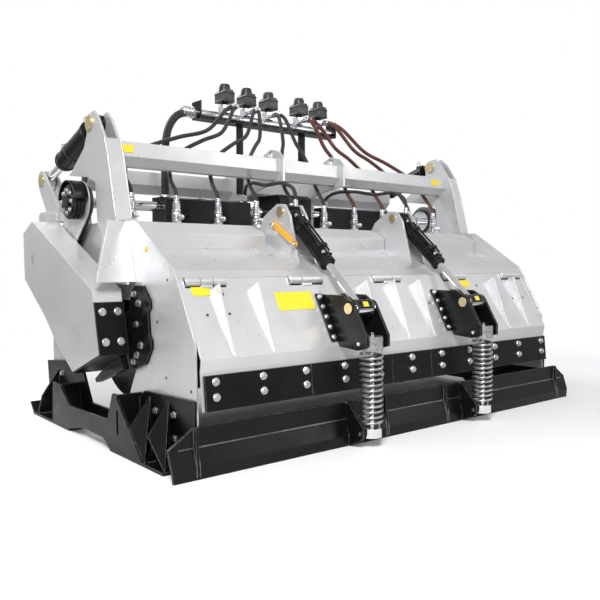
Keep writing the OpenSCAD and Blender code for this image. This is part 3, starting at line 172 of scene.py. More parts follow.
class Wiring(Net):
    """The nodes of one material."""

    def __init__(self, name: str) -> None:
        """Starts a material with a shader and its output.

        Args:
            name: The material's name.
        """
        self.material = bpy.data.materials.new(name)
        self.material.use_nodes = True
        super().__init__(self.material.node_tree)
        self.shader = self.nodes["Principled BSDF"]
        self.place = self.add("ShaderNodeTexCoord").outputs["Object"]

    def noise(self, scale: float, detail: float = 3.0, stretch: Place = (1, 1, 1)) -> Socket:
        """Adds a noise pattern on the object's own coordinates.

        Args:
            scale: How fine the pattern is.
            detail: How many finer layers it has.
            stretch: Scale of the pattern along each axis.

        Returns:
            The socket with the noise, from 0 to 1.
        """
        turn = self.add("ShaderNodeMapping")
        turn.inputs["Scale"].default_value = stretch
        self.join(self.place, turn.inputs["Vector"])
        node = self.add("ShaderNodeTexNoise")
        node.inputs["Scale"].default_value = scale
        node.inputs["Detail"].default_value = detail
        self.join(turn.outputs["Vector"], node.inputs["Vector"])
        return node.outputs["Fac"]

    def blend(self, share: Socket, first: object, second: object) -> Socket:
        """Mixes two colours.

        Args:
            share: How much of the second colour shows.
            first: A colour or a socket.
            second: A colour or a socket.

        Returns:
            The socket with the mixed colour.
        """
        node = self.add("ShaderNodeMix", data_type="RGBA")
        self.join(share, node.inputs["Factor"])
        for name, value in (("A", first), ("B", second)):
            socket = [s for s in node.inputs if s.name == name and s.type == "RGBA"][0]
            if isinstance(value, Socket):
                self.join(value, socket)
            else:
                socket.default_value = (*value, 1.0)
        return [s for s in node.outputs if s.type == "RGBA"][0]

    def skin(self, colour: Socket, rough: Socket) -> None:
        """Gives the shader its colour and its roughness."""
        self.join(colour, self.shader.inputs["Base Color"])
        self.join(rough, self.shader.inputs["Roughness"])

    def rounded(self, radius: float) -> Socket:
        """Returns a normal that is softened near edges, as on a rounded plate edge."""
        node = self.add("ShaderNodeBevel", samples=4)
        node.inputs["Radius"].default_value = radius
        return node.outputs["Normal"]

    def edges(self, radius: float, low: float = 0.02, high: float = 0.25) -> Socket:
        """Finds the edges of a piece.

        Args:
            radius: How far from an edge the mask reaches.
            low: Turn of the normal at which the mask starts.
            high: Turn of the normal at which the mask is full.

        Returns:
            A mask that is 1 on edges and 0 on flat faces.
        """
        dot = self.add("ShaderNodeVectorMath", operation="DOT_PRODUCT")
        self.join(self.rounded(radius), dot.inputs[0])
        self.join(self.add("ShaderNodeNewGeometry").outputs["Normal"], dot.inputs[1])
        return self.spread(dot.outputs["Value"], 1.0 - low, 1.0 - high)

    def bump(self, height: Socket, depth: float, normal: Socket | None = None) -> None:
        """Gives the shader a bumped normal.

        Args:
            height: The pattern of the bumps.
            depth: Height of the bumps in metres.
            normal: The normal that the bumps start from.
        """
        node = self.add("ShaderNodeBump")
        node.inputs["Strength"].default_value = 1.0
        node.inputs["Distance"].default_value = depth
        self.join(height, node.inputs["Height"])
        if normal is not None:
            self.join(normal, node.inputs["Normal"])
        self.join(node.outputs["Normal"], self.shader.inputs["Normal"])


@dataclass(frozen=True)
class PaintFinish:
    """A machine paint with orange peel and softened edges, paler near its edges: scuffs, and on dark paint a
    painted highlight along them.
    """

    name: str
    colour: Colour
    edge_scuff_and_highlight: Colour
    roughness: float
    coat: float
    edge: float
    scuff_and_highlight_share: float
    mottle: float
    metal: float = 0.0
    specular: float = 0.5
    coat_roughness: float = 0.22
    corner: float = 0.0035
    peel: float = 0.00005
    peel_grain: Spot = (420.0, 1.0)
    clouds: Spot = (2.6, 4.0)
    flecks: Spot = (34.0, 3.0)
    sheen: Spot = (12.0, 4.0)

    def make(self) -> bpy.types.Material:
        """Builds the paint's material."""
        wiring = Wiring(self.name)
        cloud, fine = wiring.noise(*self.clouds), wiring.noise(*self.flecks)
        dark = tuple(c * (1.0 - self.mottle) for c in self.colour)
        light = tuple(min(1.0, c * (1.0 + self.mottle)) for c in self.colour)
        base = wiring.blend(wiring.spread(cloud, 0.32, 0.68), dark, light)
        # Pale near the edges: scuffed paint, and on the black paint a painted highlight along its edges.
        mask = wiring.times(wiring.edges(self.edge), wiring.spread(fine, 0.35, 0.6, 1.0 - self.scuff_and_highlight_share, 1.0))
        mask = wiring.times(mask, self.scuff_and_highlight_share)
        rough = wiring.spread(wiring.noise(*self.sheen), 0.3, 0.7,
                              self.roughness - 0.07, self.roughness + 0.09)
        wiring.skin(wiring.blend(mask, base, self.edge_scuff_and_highlight), rough)
        for name, value in (("Metallic", self.metal), ("Specular IOR Level", self.specular),
                            ("Coat Weight", self.coat), ("Coat Roughness", self.coat_roughness)):
            wiring.shader.inputs[name].default_value = value
        wiring.bump(wiring.noise(*self.peel_grain), self.peel, wiring.rounded(self.corner))
        return wiring.material


@dataclass(frozen=True)
class MetalFinish:
    """A bare or plated metal with a fine grain, tarnish and softened edges."""

    name: str
    colour: Colour
    tarnish: Colour
    roughness: float
    grain: Place
    depth: float
    edge: float = 0.0015
    clouds: Spot = (14.0, 5.0)
    sheen: Spot = (60.0, 3.0)
    scratches: Spot = (180.0, 2.0)

    def make(self) -> bpy.types.Material:
        """Builds the metal's material."""
        wiring = Wiring(self.name)
        base = wiring.blend(wiring.spread(wiring.noise(*self.clouds), 0.42, 0.72), self.colour, self.tarnish)
        sheen = wiring.noise(*self.sheen, self.grain)
        wiring.skin(base, wiring.spread(sheen, 0.3, 0.7, self.roughness * 0.75, self.roughness * 1.35))
        wiring.shader.inputs["Metallic"].default_value = 1.0
        wiring.bump(wiring.noise(*self.scratches, self.grain), self.depth, wiring.rounded(self.edge))
        return wiring.material


@dataclass(frozen=True)
class HideFinish:
    """A rubber or moulded plastic with a fine grain and dust on its edges."""

    name: str
    colour: Colour
    dust: Colour
    roughness: float
    grain: float
    depth: float
    edge: float = 0.004
    corner: float = 0.002
    clouds: Spot = (8.0, 4.0)
    sheen: Spot = (30.0, 3.0)

    def make(self) -> bpy.types.Material:
        """Builds the material of the rubber or plastic."""
        wiring = Wiring(self.name)
        cloud = wiring.spread(wiring.noise(*self.clouds), 0.4, 0.75, 0.0, 0.5)
        share = wiring.times(cloud, wiring.edges(self.edge), "MAXIMUM")
        rough = wiring.spread(wiring.noise(*self.sheen), 0.3, 0.7,
                              self.roughness - 0.08, self.roughness + 0.1)
        wiring.skin(wiring.blend(share, self.colour, self.dust), rough)
        wiring.bump(wiring.noise(self.grain, 2.0), self.depth, wiring.rounded(self.corner))
        return wiring.material


@dataclass(frozen=True)
class BraidFinish:
    """A hose cover with a woven or spiral pattern that follows the hose's own map."""

    name: str
    colour: Colour
    thread: Colour
    turns: float
    roughness: float
    slant: float = 0.6
    relief: float = 0.0006
    dirt: Spot = (7.0, 4.0)

    def make(self) -> bpy.types.Material:
        """Builds the hose cover's material."""
        wiring = Wiring(self.name)
        track = wiring.add("ShaderNodeUVMap")
        turn = wiring.add("ShaderNodeMapping")
        turn.inputs["Scale"].default_value = (1.0, self.turns, 1.0)
        turn.inputs["Rotation"].default_value = (0.0, 0.0, self.slant)
        wiring.join(track.outputs["UV"], turn.inputs["Vector"])
        wave = wiring.add("ShaderNodeTexWave")
        wave.inputs["Scale"].default_value = 6.0
        wave.inputs["Distortion"].default_value = 0.6
        wiring.join(turn.outputs["Vector"], wave.inputs["Vector"])
        dusty = wiring.spread(wiring.noise(*self.dirt), 0.35, 0.75)
        share = wiring.times(wave.outputs["Fac"], dusty)
        rough = wiring.spread(dusty, 0.0, 1.0, self.roughness, self.roughness + 0.15)
        wiring.skin(wiring.blend(share, self.colour, self.thread), rough)
        wiring.bump(wave.outputs["Fac"], self.relief)
        return wiring.material


class Finish(Enum):
    """The finishes of the machine, by the record's slots and for the small pieces made here."""

    GREY_PAINT = PaintFinish("grey_paint", (0.585, 0.59, 0.60), (0.92, 0.92, 0.93), 0.33,
                             0.2, 0.004, 0.8, 0.06, 0.4)
    # The pale edge colour of the black paint is a painted highlight along its edges, besides scuffs.
    BLACK_PAINT = PaintFinish("black_paint", (0.005, 0.005, 0.0055), (0.45, 0.45, 0.46), 0.30,
                              0.0, 0.003, 0.7, 0.3, 0.0, 0.17)
    ORANGE_PAINT = PaintFinish("orange_paint", (0.90, 0.42, 0.02), (0.95, 0.75, 0.40), 0.35,
                               0.3, 0.003, 0.5, 0.08)
    YELLOW_PATCH = PaintFinish("yellow_patch", (0.90, 0.66, 0.02), (0.95, 0.85, 0.45), 0.30,
                               0.5, 0.001, 0.3, 0.05)
    BLUE_RING = PaintFinish("blue_ring", (0.04, 0.20, 0.42), (0.25, 0.4, 0.6), 0.3, 0.3, 0.001, 0.4, 0.1)
    ZINC = MetalFinish("zinc", (0.70, 0.71, 0.73), (0.58, 0.59, 0.61), 0.28, (1, 1, 1), 0.00002)
    CHROME = MetalFinish("chrome", (0.82, 0.82, 0.83), (0.72, 0.72, 0.74), 0.09, (1, 1, 4), 0.00001)
    YELLOW_ZINC = MetalFinish("yellow_zinc", (0.66, 0.56, 0.30), (0.60, 0.46, 0.36), 0.42, (1, 1, 1), 0.00004)
    GEAR_STEEL = MetalFinish("gear_steel", (0.42, 0.42, 0.44), (0.22, 0.20, 0.18), 0.34, (6, 1, 1), 0.00006)
    TOOL_STEEL = MetalFinish("tool_steel", (0.17, 0.165, 0.16), (0.20, 0.12, 0.07), 0.5,
                             (1, 1, 1), 0.0003, 0.003)
    SPRING_STEEL = MetalFinish("spring_steel", (0.44, 0.445, 0.455), (0.30, 0.30, 0.31), 0.30,
                               (1, 1, 1), 0.00002)
    WELD = MetalFinish("weld", (0.20, 0.20, 0.205), (0.09, 0.09, 0.095), 0.42, (1, 1, 1), 0.0002)
    RUBBER = HideFinish("rubber", (0.016, 0.016, 0.017), (0.06, 0.06, 0.062), 0.55, 300.0, 0.00008)
    BLACK_PLASTIC = HideFinish("black_plastic", (0.014, 0.014, 0.016), (0.09, 0.09, 0.095), 0.42,
                               520.0, 0.00006)
    BLACK_HOSE = BraidFinish("black_hose", (0.012, 0.012, 0.013), (0.075, 0.075, 0.08), 60.0, 0.4)
    RED_HOSE = BraidFinish("red_hose", (0.085, 0.022, 0.014), (0.24, 0.09, 0.06), 60.0, 0.45)

    def material(self) -> bpy.types.Material:
        """Returns the finish's material, built once."""
        found = bpy.data.materials.get(self.value.name + "_finish")
        if found is None:
            found = self.value.make()
            found.name = self.value.name + "_finish"
        return found


class Shop:
    """Makes, dresses and mounts the pieces that this script adds."""

    made: list[str] = []

    @staticmethod
    def mount(name: str, form: Form, finish: Finish, body: str | None, smooth: bool = True) -> Piece:
        """Turns a finished form into a piece that moves with a body.

        Args:
            name: The piece's name.
            form: The form, in place, in metres.
            finish: The finish that it gets.
            body: The body that it rides on, or None for a piece that is left unattached.
            smooth: Whether its faces are shaded as one smooth surface.

        Returns:
            The piece.
        """
        bmesh.ops.recalc_face_normals(form, faces=form.faces)
        mesh = bpy.data.meshes.new(name)
        form.to_mesh(mesh)
        form.free()
        mesh.materials.append(finish.material())
        for face in mesh.polygons:
            face.use_smooth = smooth
        if smooth:
            mesh.set_sharp_from_angle(angle=SHARP_FROM)
        piece = placed(name, mesh)
        if body:
            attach(piece, body)
        Shop.made.append(name)
        LOG.info("%s: %d faces on %s", name, len(mesh.polygons), body)
        return piece

    @staticmethod
    def stand(part: Form, foot: Vector, axis: Vector) -> None:
        """Stands a form that was made along Z on a foot, along an axis."""
        turn = UP.rotation_difference(axis.normalized()).to_matrix().to_4x4()
        bmesh.ops.transform(part, matrix=Matrix.Translation(foot) @ turn, verts=part.verts)

    @staticmethod
    def spun(form: Form, rim: Spots, foot: Vector, axis: Vector, steps: int, closed: bool) -> None:
        """Spins a rim round an axis.

        Args:
            form: The form that the body is added to.
            rim: Radius and height pairs.
            foot: Where height 0 lies.
            axis: The way up.
            steps: Faces round the body.
            closed: Whether the rim's last point joins its first.
        """
        part = bmesh.new()
        verts = [part.verts.new((r, 0.0, h)) for r, h in rim]
        for first, second in zip(verts, [*verts[1:], *verts[:closed]]):
            part.edges.new((first, second))
        bmesh.ops.spin(part, geom=part.verts[:] + part.edges[:], cent=(0, 0, 0), axis=(0, 0, 1),
                       angle=math.tau, steps=steps, use_merge=True)
        bmesh.ops.remove_doubles(part, verts=part.verts, dist=SAME_PLACE)
        Shop.stand(part, foot, axis)
        Shop.merge(form, part)

    @staticmethod
    def lathe(form: Form, profile: Spots, foot: Vector, axis: Vector, steps: int = 28) -> None:
        """Turns a profile of radius and height pairs, from foot to top, into a solid body."""
        Shop.spun(form, [(0.0, profile[0][1]), *profile, (0.0, profile[-1][1])], foot, axis, steps, False)

    @staticmethod
    def ring(form: Form, outer: float, inner: float, length: float, foot: Vector, axis: Vector) -> None:
        """Adds a sleeve with chamfered ends.

        Args:
            form: The form that the sleeve is added to.
            outer: Its outer radius.
            inner: Its bore's radius.
            length: Its length.
            foot: The middle of one end.
            axis: The way to its other end.
        """
        soft = (outer - inner) * 0.2
        rim = [(inner, 0), (outer - soft, 0), (outer, soft), (outer, length - soft), (outer - soft, length),
               (inner, length)]
        Shop.spun(form, rim, foot, axis, 40, True)

    @staticmethod
    def merge(form: Form, part: Form) -> None:
        """Adds one form's mesh to another and frees it."""
        bmesh.ops.recalc_face_normals(part, faces=part.faces)
        scratch = bpy.data.meshes.new("scratch")
        part.to_mesh(scratch)
        part.free()
        form.from_mesh(scratch)
        bpy.data.meshes.remove(scratch)

    @staticmethod
    def block(form: Form, size: Place, centre: Vector, turn: Matrix | None = None,
              round_off: float = 0.002, segments: int = 2) -> None:
        """Adds a block with rounded edges.

        Args:
            form: The form that the block is added to.
            size: Its size along each axis.
            centre: Its middle.
            turn: Its turn, if any.
            round_off: Radius of its edges.
            segments: Steps round each edge.
        """
        part = bmesh.new()
        bmesh.ops.create_cube(part, size=1.0)
        bmesh.ops.scale(part, vec=size, verts=part.verts)
        bmesh.ops.bevel(part, geom=part.edges[:], offset=round_off, affect="EDGES", segments=segments,
                        profile=0.5, material=-1)
        matrix = Matrix.Translation(centre) @ (turn.to_4x4() if turn else Matrix.Identity(4))
        bmesh.ops.transform(part, matrix=matrix, verts=part.verts)
        Shop.merge(form, part)

    @staticmethod
    def nut(form: Form, across: float, height: float, foot: Vector, axis: Vector) -> None:
        """Adds a hexagon nut with chamfered corners.

        Args:
            form: The form that the nut is added to.
            across: Its width over the corners.
            height: Its height.
            foot: The middle of its underside.
            axis: The way up.
        """
        part = bmesh.new()
        bmesh.ops.create_cone(part, cap_ends=True, segments=6, radius1=across / 2, radius2=across / 2,
                              depth=height)
        bmesh.ops.bevel(part, geom=part.edges[:], offset=height * 0.09, affect="EDGES", segments=2,
                        profile=0.5, material=-1)
        Shop.stand(part, foot + axis.normalized() * height / 2, axis)
        Shop.merge(form, part)

    @staticmethod
    def bolt(form: Form, radius: float, foot: Vector, axis: Vector) -> None:
        """Adds a washer with a bolt head on it.

        Args:
            form: The form that the bolt is added to.
            radius: Radius of the head over its corners.
            foot: The middle of the washer's underside.
            axis: The way up.
        """
        thick = radius * 0.2
        Shop.lathe(form, [(radius * 1.3, 0), (radius * 1.3, thick * 0.8), (radius * 1.22, thick)],
                   foot, axis, 20)
        Shop.nut(form, radius * 2, radius * 0.75, foot + axis.normalized() * thick, axis)

    @staticmethod
    def tube(form: Form, path: list[Vector], radii: list[float], sides: int) -> None:
        """Sweeps a round section along a path, with its own map for hose covers.

        Args:
            form: The form that the tube is added to.
            path: The points that it follows.
            radii: Its radius at each point.
            sides: Faces round it.
        """
        curve = bpy.data.curves.new("sweep", "CURVE")
        curve.dimensions = "3D"
        curve.bevel_depth = 1.0
        curve.bevel_resolution = max(0, sides // 2 - 2)
        curve.use_fill_caps = True
        curve.twist_mode = "MINIMUM"
        line = curve.splines.new("POLY")
        line.points.add(len(path) - 1)
        for point, place, radius in zip(line.points, path, radii):
            point.co = (*place, 1.0)
            point.radius = radius
        carrier = placed("sweep", curve)
        bpy.context.view_layer.update()
        swept = bpy.data.meshes.new_from_object(carrier.evaluated_get(bpy.context.evaluated_depsgraph_get()))
        part = bmesh.new()
        part.from_mesh(swept)
        bmesh.ops.remove_doubles(part, verts=part.verts, dist=SAME_PLACE)
        bpy.data.objects.remove(carrier)
        bpy.data.curves.remove(curve)
        bpy.data.meshes.remove(swept)
        Shop.merge(form, part)


def smooth_path(points: list[Vector], steps: int) -> list[Vector]:
    """Runs a smooth curve through some points.

    Args:
        points: The points.
        steps: Places between two of them.

    Returns:
        The places on the curve.
    """
    places: list[Vector] = []
    last = len(points) - 1
    for i in range(last):
        a, b, c, d = points[max(i - 1, 0)], points[i], points[i + 1], points[min(i + 2, last)]
        for j in range(steps):
            t = j / steps
            places.append(0.5 * (2 * b + (c - a) * t + (2 * a - 5 * b + 4 * c - d) * t * t
                                 + (3 * b - a - 3 * c + d) * t * t * t))
    return [*places, points[-1]]


def path_length(path: list[Vector]) -> float:
    """Returns the length of a path."""
    return sum((b - a).length for a, b in zip(path, path[1:]))


def resampled(path: list[Vector], step: float) -> list[Vector]:
    """Returns a path with places at even steps.

    Args:
        path: The old path.
        step: The distance between two places.

    Returns:
        The places, ends included.
    """
    count = max(2, round(path_length(path) / step))
    step = path_length(path) / count
    places, walked, target = [path[0]], 0.0, step
    for a, b in zip(path, path[1:]):
        span = (b - a).length
        while span > 0 and walked + span >= target - 1e-9 and len(places) < count:
            places.append(a + (b - a) * ((target - walked) / span))
            target += step
        walked += span
    return [*places, path[-1]]


def on_door(x: float, down: float, lift: float = 0.0) -> Vector:
    """Returns a place on the door.

    Args:
        x: The place's x.
        down: Distance below the hinge line.
        lift: Distance from the skin.

    Returns:
        The place.
    """
    return RIGHT * x + DOOR_HINGE + DOOR_DOWN * down + DOOR_OUT * lift


@dataclass
class Hoses:
    """Water and oil hoses, with their ferrules and coloured rings."""

    valve_x: tuple[float, ...] = (-0.333, -0.183, -0.025, 0.21, 0.364)
    body_w: float = 0.052
    outlet_y: float = 0.204
    outlet_z: float = 1.6696
    nozzle_y: float = -0.07
    nozzle_pitch: float = 0.24
    nozzles: int = 10
    radius: float = 0.011
    feed_radius: float = 0.022
    oil_radius: float = 0.0095
    steps: int = 10
    leads: tuple[float, ...] = (-0.0007, 0.0125, 0.025)
    water_shares: Places = (
        (0.1, 0.134, 1.63), (0.3, 0.08, 1.5), (0.55, 0.06, 1.44), (0.8, 0.045, 1.37), (0.95, 0.03, 1.29),
        (1.0, -0.01, 1.215), (1.0, -0.055, 1.16), (1.0, -0.07, 1.125), (1.0, -0.07, 1.106),
        (1.0, -0.07, 1.09))
    feed_places: Places = (
        (-0.5306, 0.27, 1.6243), (-0.5456, 0.27, 1.6243), (-0.5645, 0.27, 1.624), (-0.64, 0.272, 1.596),
        (-0.6898, 0.278, 1.52), (-0.7051, 0.288, 1.4), (-0.702, 0.297, 1.27), (-0.7, 0.3, 1.16),
        (-0.7, 0.3, 1.1253), (-0.7, 0.3, 1.1063), (-0.7, 0.3, 1.0903))
    oil_places: Places = (
        (0.30, 0.12, 1.142), (0.30, 0.12, 1.19), (0.33, 0.06, 1.225), (0.37, -0.06, 1.225),
        (0.395, -0.20, 1.2), (0.397, -0.33, 1.2), (0.397, -0.42, 1.17), (0.397, -0.445, 1.125),
        (0.397, -0.446, 1.0747))

    def water_route(self, k: int) -> list[Vector]:
        """Returns the places that water hose k runs through."""
        x0 = self.valve_x[k // 2] + (k % 2 - 0.5) * self.body_w / 2
        span = self.nozzle_x(k) - x0
        leads = [Vector((x0, self.outlet_y - lead, self.outlet_z)) for lead in self.leads]
        return leads + [Vector((x0 + share * span, y, z)) for share, y, z in self.water_shares]

    def nozzle_x(self, k: int) -> float:
        """Returns the x of nozzle k."""
        return (k - (self.nozzles - 1) / 2) * self.nozzle_pitch

    def hose(self, name: str, route: list[Vector], radius: float, finish: Finish, ribbed: bool,
             bodies: tuple[str, ...] = ("root",)) -> Piece:
        """Args:
            name: Its name.
            route: The places that it runs through.
            radius: Its radius.
            finish: The finish of its cover.
            ribbed: Whether it wears a spiral guard.
            bodies: The body that it rides on, or the two that it joins.

        Returns:
            The hose.
        """
        path = resampled(smooth_path(route, self.steps), 0.006 if ribbed else 0.014)
        swell = [radius * (0.9 if ribbed and i % 2 else 1.0) for i in range(len(path))]
        form = bmesh.new()
        Shop.tube(form, path, swell, 12)
        piece = Shop.mount(name, form, finish, bodies[0] if len(bodies) == 1 else None)
        if len(bodies) == 2:
            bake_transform(piece)
        self.ends(name, path, radius, bodies)
        return piece

    def ends(self, name: str, path: list[Vector], radius: float, bodies: tuple[str, ...]) -> None:
        """Adds a crimped ferrule and a nut at both ends of a hose, and a blue ring at the far end of a water
        hose.
        """
        for tag, foot, way, body in (("start", path[0], path[3] - path[0], bodies[0]),
                                     ("end", path[-1], path[-4] - path[-1], bodies[-1])):
            form = bmesh.new()
            grip = radius * 1.28
            profile = [(grip * 0.9, 0.0), (grip, radius * 0.2)]
            for ring in range(3):
                low = radius * (0.9 + ring * 0.75)
                profile += [(grip, low), (grip * 0.92, low + radius * 0.14), (grip, low + radius * 0.28)]
            profile += [(grip, radius * 3.3), (radius * 1.05, radius * 3.6)]
            Shop.lathe(form, profile, foot, way, 20)
            Shop.nut(form, radius * 3.1, radius * 1.1, foot, way)
            Shop.mount(f"{name}_{tag}_ferrule", form, Finish.ZINC, body)
            if tag == "end" and name.startswith("water"):
                form = bmesh.new()
                Shop.lathe(form, [(grip * 1.02, 0), (grip * 1.12, radius * 0.08), (grip * 1.12, radius * 0.3),
                                  (grip * 1.02, radius * 0.38)],
                           foot + way.normalized() * radius * 1.2, way, 20)
                Shop.mount(f"{name}_ring", form, Finish.BLUE_RING, body)

    def build(self) -> None:
        """Makes every hose of the machine."""
        stand_in: Piece | None = None
        for k in range(self.nozzles):
            right = k >= self.nozzles // 2 + 1
            piece = self.hose(f"water_hose_{k + 1}", self.water_route(k), self.radius,
                              Finish.RED_HOSE if right else Finish.BLACK_HOSE, not right)
            stand_in = stand_in or piece
        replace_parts(stand_in, "water_hoses")
        route = [Vector(p) for p in self.feed_places]
        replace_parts(self.hose("feed_hose", route, self.feed_radius, Finish.BLACK_HOSE, True), "feed_hoses")
        for side, tag in SIDES:
            route = [Vector((side * x, y, z)) for x, y, z in self.oil_places]
            self.hose(f"{tag}_door_oil_hose", route, self.oil_radius, Finish.BLACK_HOSE, False,
                      ("root", "door_barrel"))


@dataclass
class Springs:
    """The two coil springs that press the blade down."""

    x: float = 0.397
    y: float = -0.970
    low: float = 0.085
    high: float = 0.424
    coil: float = 0.047
    wire: float = 0.006
    turns: float = 13.5
    steps: int = 24
    seat: float = 0.0005
    travel: float = 0.07

    def build(self) -> None:
        """Makes both springs, which ride on the door."""
        for side, tag in SIDES:
            form = bmesh.new()
            count = int(self.turns * self.steps)
            start, rise = self.low + 2 * self.wire, self.high - self.low - 4 * self.wire
            path = [Vector((self.coil, 0, self.low + self.seat))]
            for i in range(count + 1):
                angle = math.tau * self.turns * i / count
                path.append(Vector((self.coil * math.cos(angle), self.coil * math.sin(angle),
                                    start + rise * i / count)))
            path.append(path[-1] + Vector((0, 0, 2 * self.wire - self.seat)))
            centre = Vector((side * self.x, self.y, 0))
            Shop.tube(form, [p + centre for p in path], [self.wire] * len(path), 12)
            piece = Shop.mount(f"{tag}_coil_spring", form, Finish.SPRING_STEEL, "door")
            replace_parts(piece, f"{tag}_spring")
            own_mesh(piece)


@dataclass
class Welds:
    """Weld beads along the seams of the plates."""

    radius: float = 0.0035
    ripple: float = 0.005
    blade_seam: Places = ((-1.30, -0.8765, 0.1155), (1.30, -0.8765, 0.1155))
    blade_x: tuple[float, ...] = (0.21, 0.2245, 1.22, 1.2345)
    blade_spots: Spots = ((-0.877, 0.185), (-0.877, 0.116), (-0.8985, 0.05), (-0.9005, 0.01))
    skid_x: Spot = (1.2035, 1.29)
    skid_z: float = 0.0135
    skid_seam: Spot = (-0.77, -0.32)
    gussets: Places = ((-0.466, 0.244, 0.012), (-0.623, 0.247, 0.012), (0.56, 0.24, 0.012))
    ribs: tuple[float, ...] = (-1.023, -0.829, -0.1905, 0.0, 0.1905, 0.829, 1.023)
    rib_half: float = 0.0065
    rib_spots: Spots = ((-0.692, 0.697), (-0.840, 0.437))
    root_runs: tuple[tuple[str, float, tuple[float, ...], Spots], ...] = (
        ("bracket_welds", 0.8, (0.3395, 0.3525, 0.4415, 0.4545),
         ((-0.21, 0.9285), (-0.36, 0.8615), (-0.45, 0.8335), (-0.53, 0.804))),
        ("upright_welds", 0.9, (1.1585, 1.2345), ((-0.236, 1.0), (-0.166, 1.27), (-0.131, 1.36))),
        ("lug_welds", 0.9, (0.2115, 0.2285),
         ((-0.1015, 1.294), (-0.1015, 1.358), (-0.099, 1.361), (-0.012, 1.361))),
        ("upright_welds", 1.0, (1.157,), ((-0.102, 1.294), (-0.102, 1.359), (-0.004, 1.361))))
    beam_spot: Spot = (-0.341, 0.8697)
    beam_spans: Spots = ((-0.335, 0.335), (-0.5, -1.178), (0.5, 1.178))
    groups: dict[tuple[str, str, Finish], Form] = field(default_factory=dict)

    def bead(self, name: str, body: str, finish: Finish, points: list[Place], size: float = 1.0) -> None:
        """Lays one bead along some points.

        Args:
            name: The group that it belongs to.
            body: The body that the group rides on.
            finish: The finish of the group.
            points: The places that the bead runs through.
            size: The bead's size beside the usual one.
        """
        form = self.groups.setdefault((name, body, finish), bmesh.new())
        radius = self.radius * size
        path = resampled([Vector(p) for p in points], self.ripple)
        radii = [radius * (1.0 + (0.16 if i % 2 else -0.1)) for i in range(len(path))]
        Shop.tube(form, path, radii, 6)

    def build(self) -> None:
        """Lays every bead."""
        grey, black = Finish.GREY_PAINT, Finish.WELD
        self.bead("blade_welds", "blade", black, list(self.blade_seam))
        for side, _ in SIDES:
            for x in self.blade_x:
                self.bead("blade_welds", "blade", black, [(side * x, y, z) for y, z in self.blade_spots], 0.8)
            inner, outer = (side * x for x in self.skid_x)
            for y, top, low in self.gussets:
                self.bead("skid_welds", "root", black, [(inner, y + 0.001, top), (inner, y + 0.001, low)])
                self.bead("skid_welds", "root", black, [(x, y + 0.002, self.skid_z) for x in (inner, outer)])
            self.bead("skid_welds", "root", black, [(inner, y, self.skid_z) for y in self.skid_seam])
            for x in self.ribs:
                seam = [(x + side * self.rib_half, y, z) for y, z in self.rib_spots]
                self.bead("door_welds", "door", grey, seam, 0.8)
            for name, size, places, spots in self.root_runs:
                for x in places:
                    self.bead(name, "root", grey, [(side * x, y, z) for y, z in spots], size)
        for span in self.beam_spans:
            self.bead("beam_welds", "root", grey, [(x, *self.beam_spot) for x in span])
        for (name, body, finish), form in self.groups.items():
            Shop.mount(name, form, finish, body)


@dataclass
class Patches:
    """Blank yellow patches, thin plates stuck on the machine."""

    thick: float = 0.0012
    on_doors: tuple[tuple[str, float, float, Spot], ...] = (
        ("door_patch_left", -1.088, 0.045, (0.085, 0.04)),
        ("door_patch_large", -0.625, 0.105, (0.205, 0.088)),
        ("door_patch_right", 0.60, 0.045, (0.085, 0.04)))
    on_bar: tuple[tuple[str, Place], ...] = (
        ("crossbar_patch_left", (-1.115, -0.1008, 1.326)), ("crossbar_patch_right", (1.06, -0.1008, 1.326)))
    bar_size: Spot = (0.075, 0.036)
    on_panel: Place = (-1.1902, -0.43, 0.86)

    def patch(self, name: str, body: str, centre: Vector, up: Vector, size: Spot) -> None:
        """Sticks one patch on.

        Args:
            name: Its name.
            body: The body that it rides on.
            centre: Its middle, on the surface.
            up: The way of its height.
            size: Its width and height.
        """
        high = up.normalized()
        form = bmesh.new()
        Shop.block(form, (*size, self.thick), centre, Matrix((RIGHT, high, RIGHT.cross(high))).transposed(),
                   self.thick * 0.3, 1)
        Shop.mount(name, form, Finish.YELLOW_PATCH, body, False)

    def build(self) -> None:
        """Sticks every patch on."""
        for name, x, down, size in self.on_doors:
            self.patch(name, "door", on_door(x, down, 0.0008), -DOOR_DOWN, size)
        for name, centre in self.on_bar:
            self.patch(name, "root", Vector(centre), UP, self.bar_size)
        form = bmesh.new()
        Shop.lathe(form, [(0.013, 0), (0.013, 0.001), (0.0125, 0.0012)], Vector(self.on_panel), -RIGHT, 32)
        Shop.mount("panel_patch", form, Finish.YELLOW_PATCH, "root")


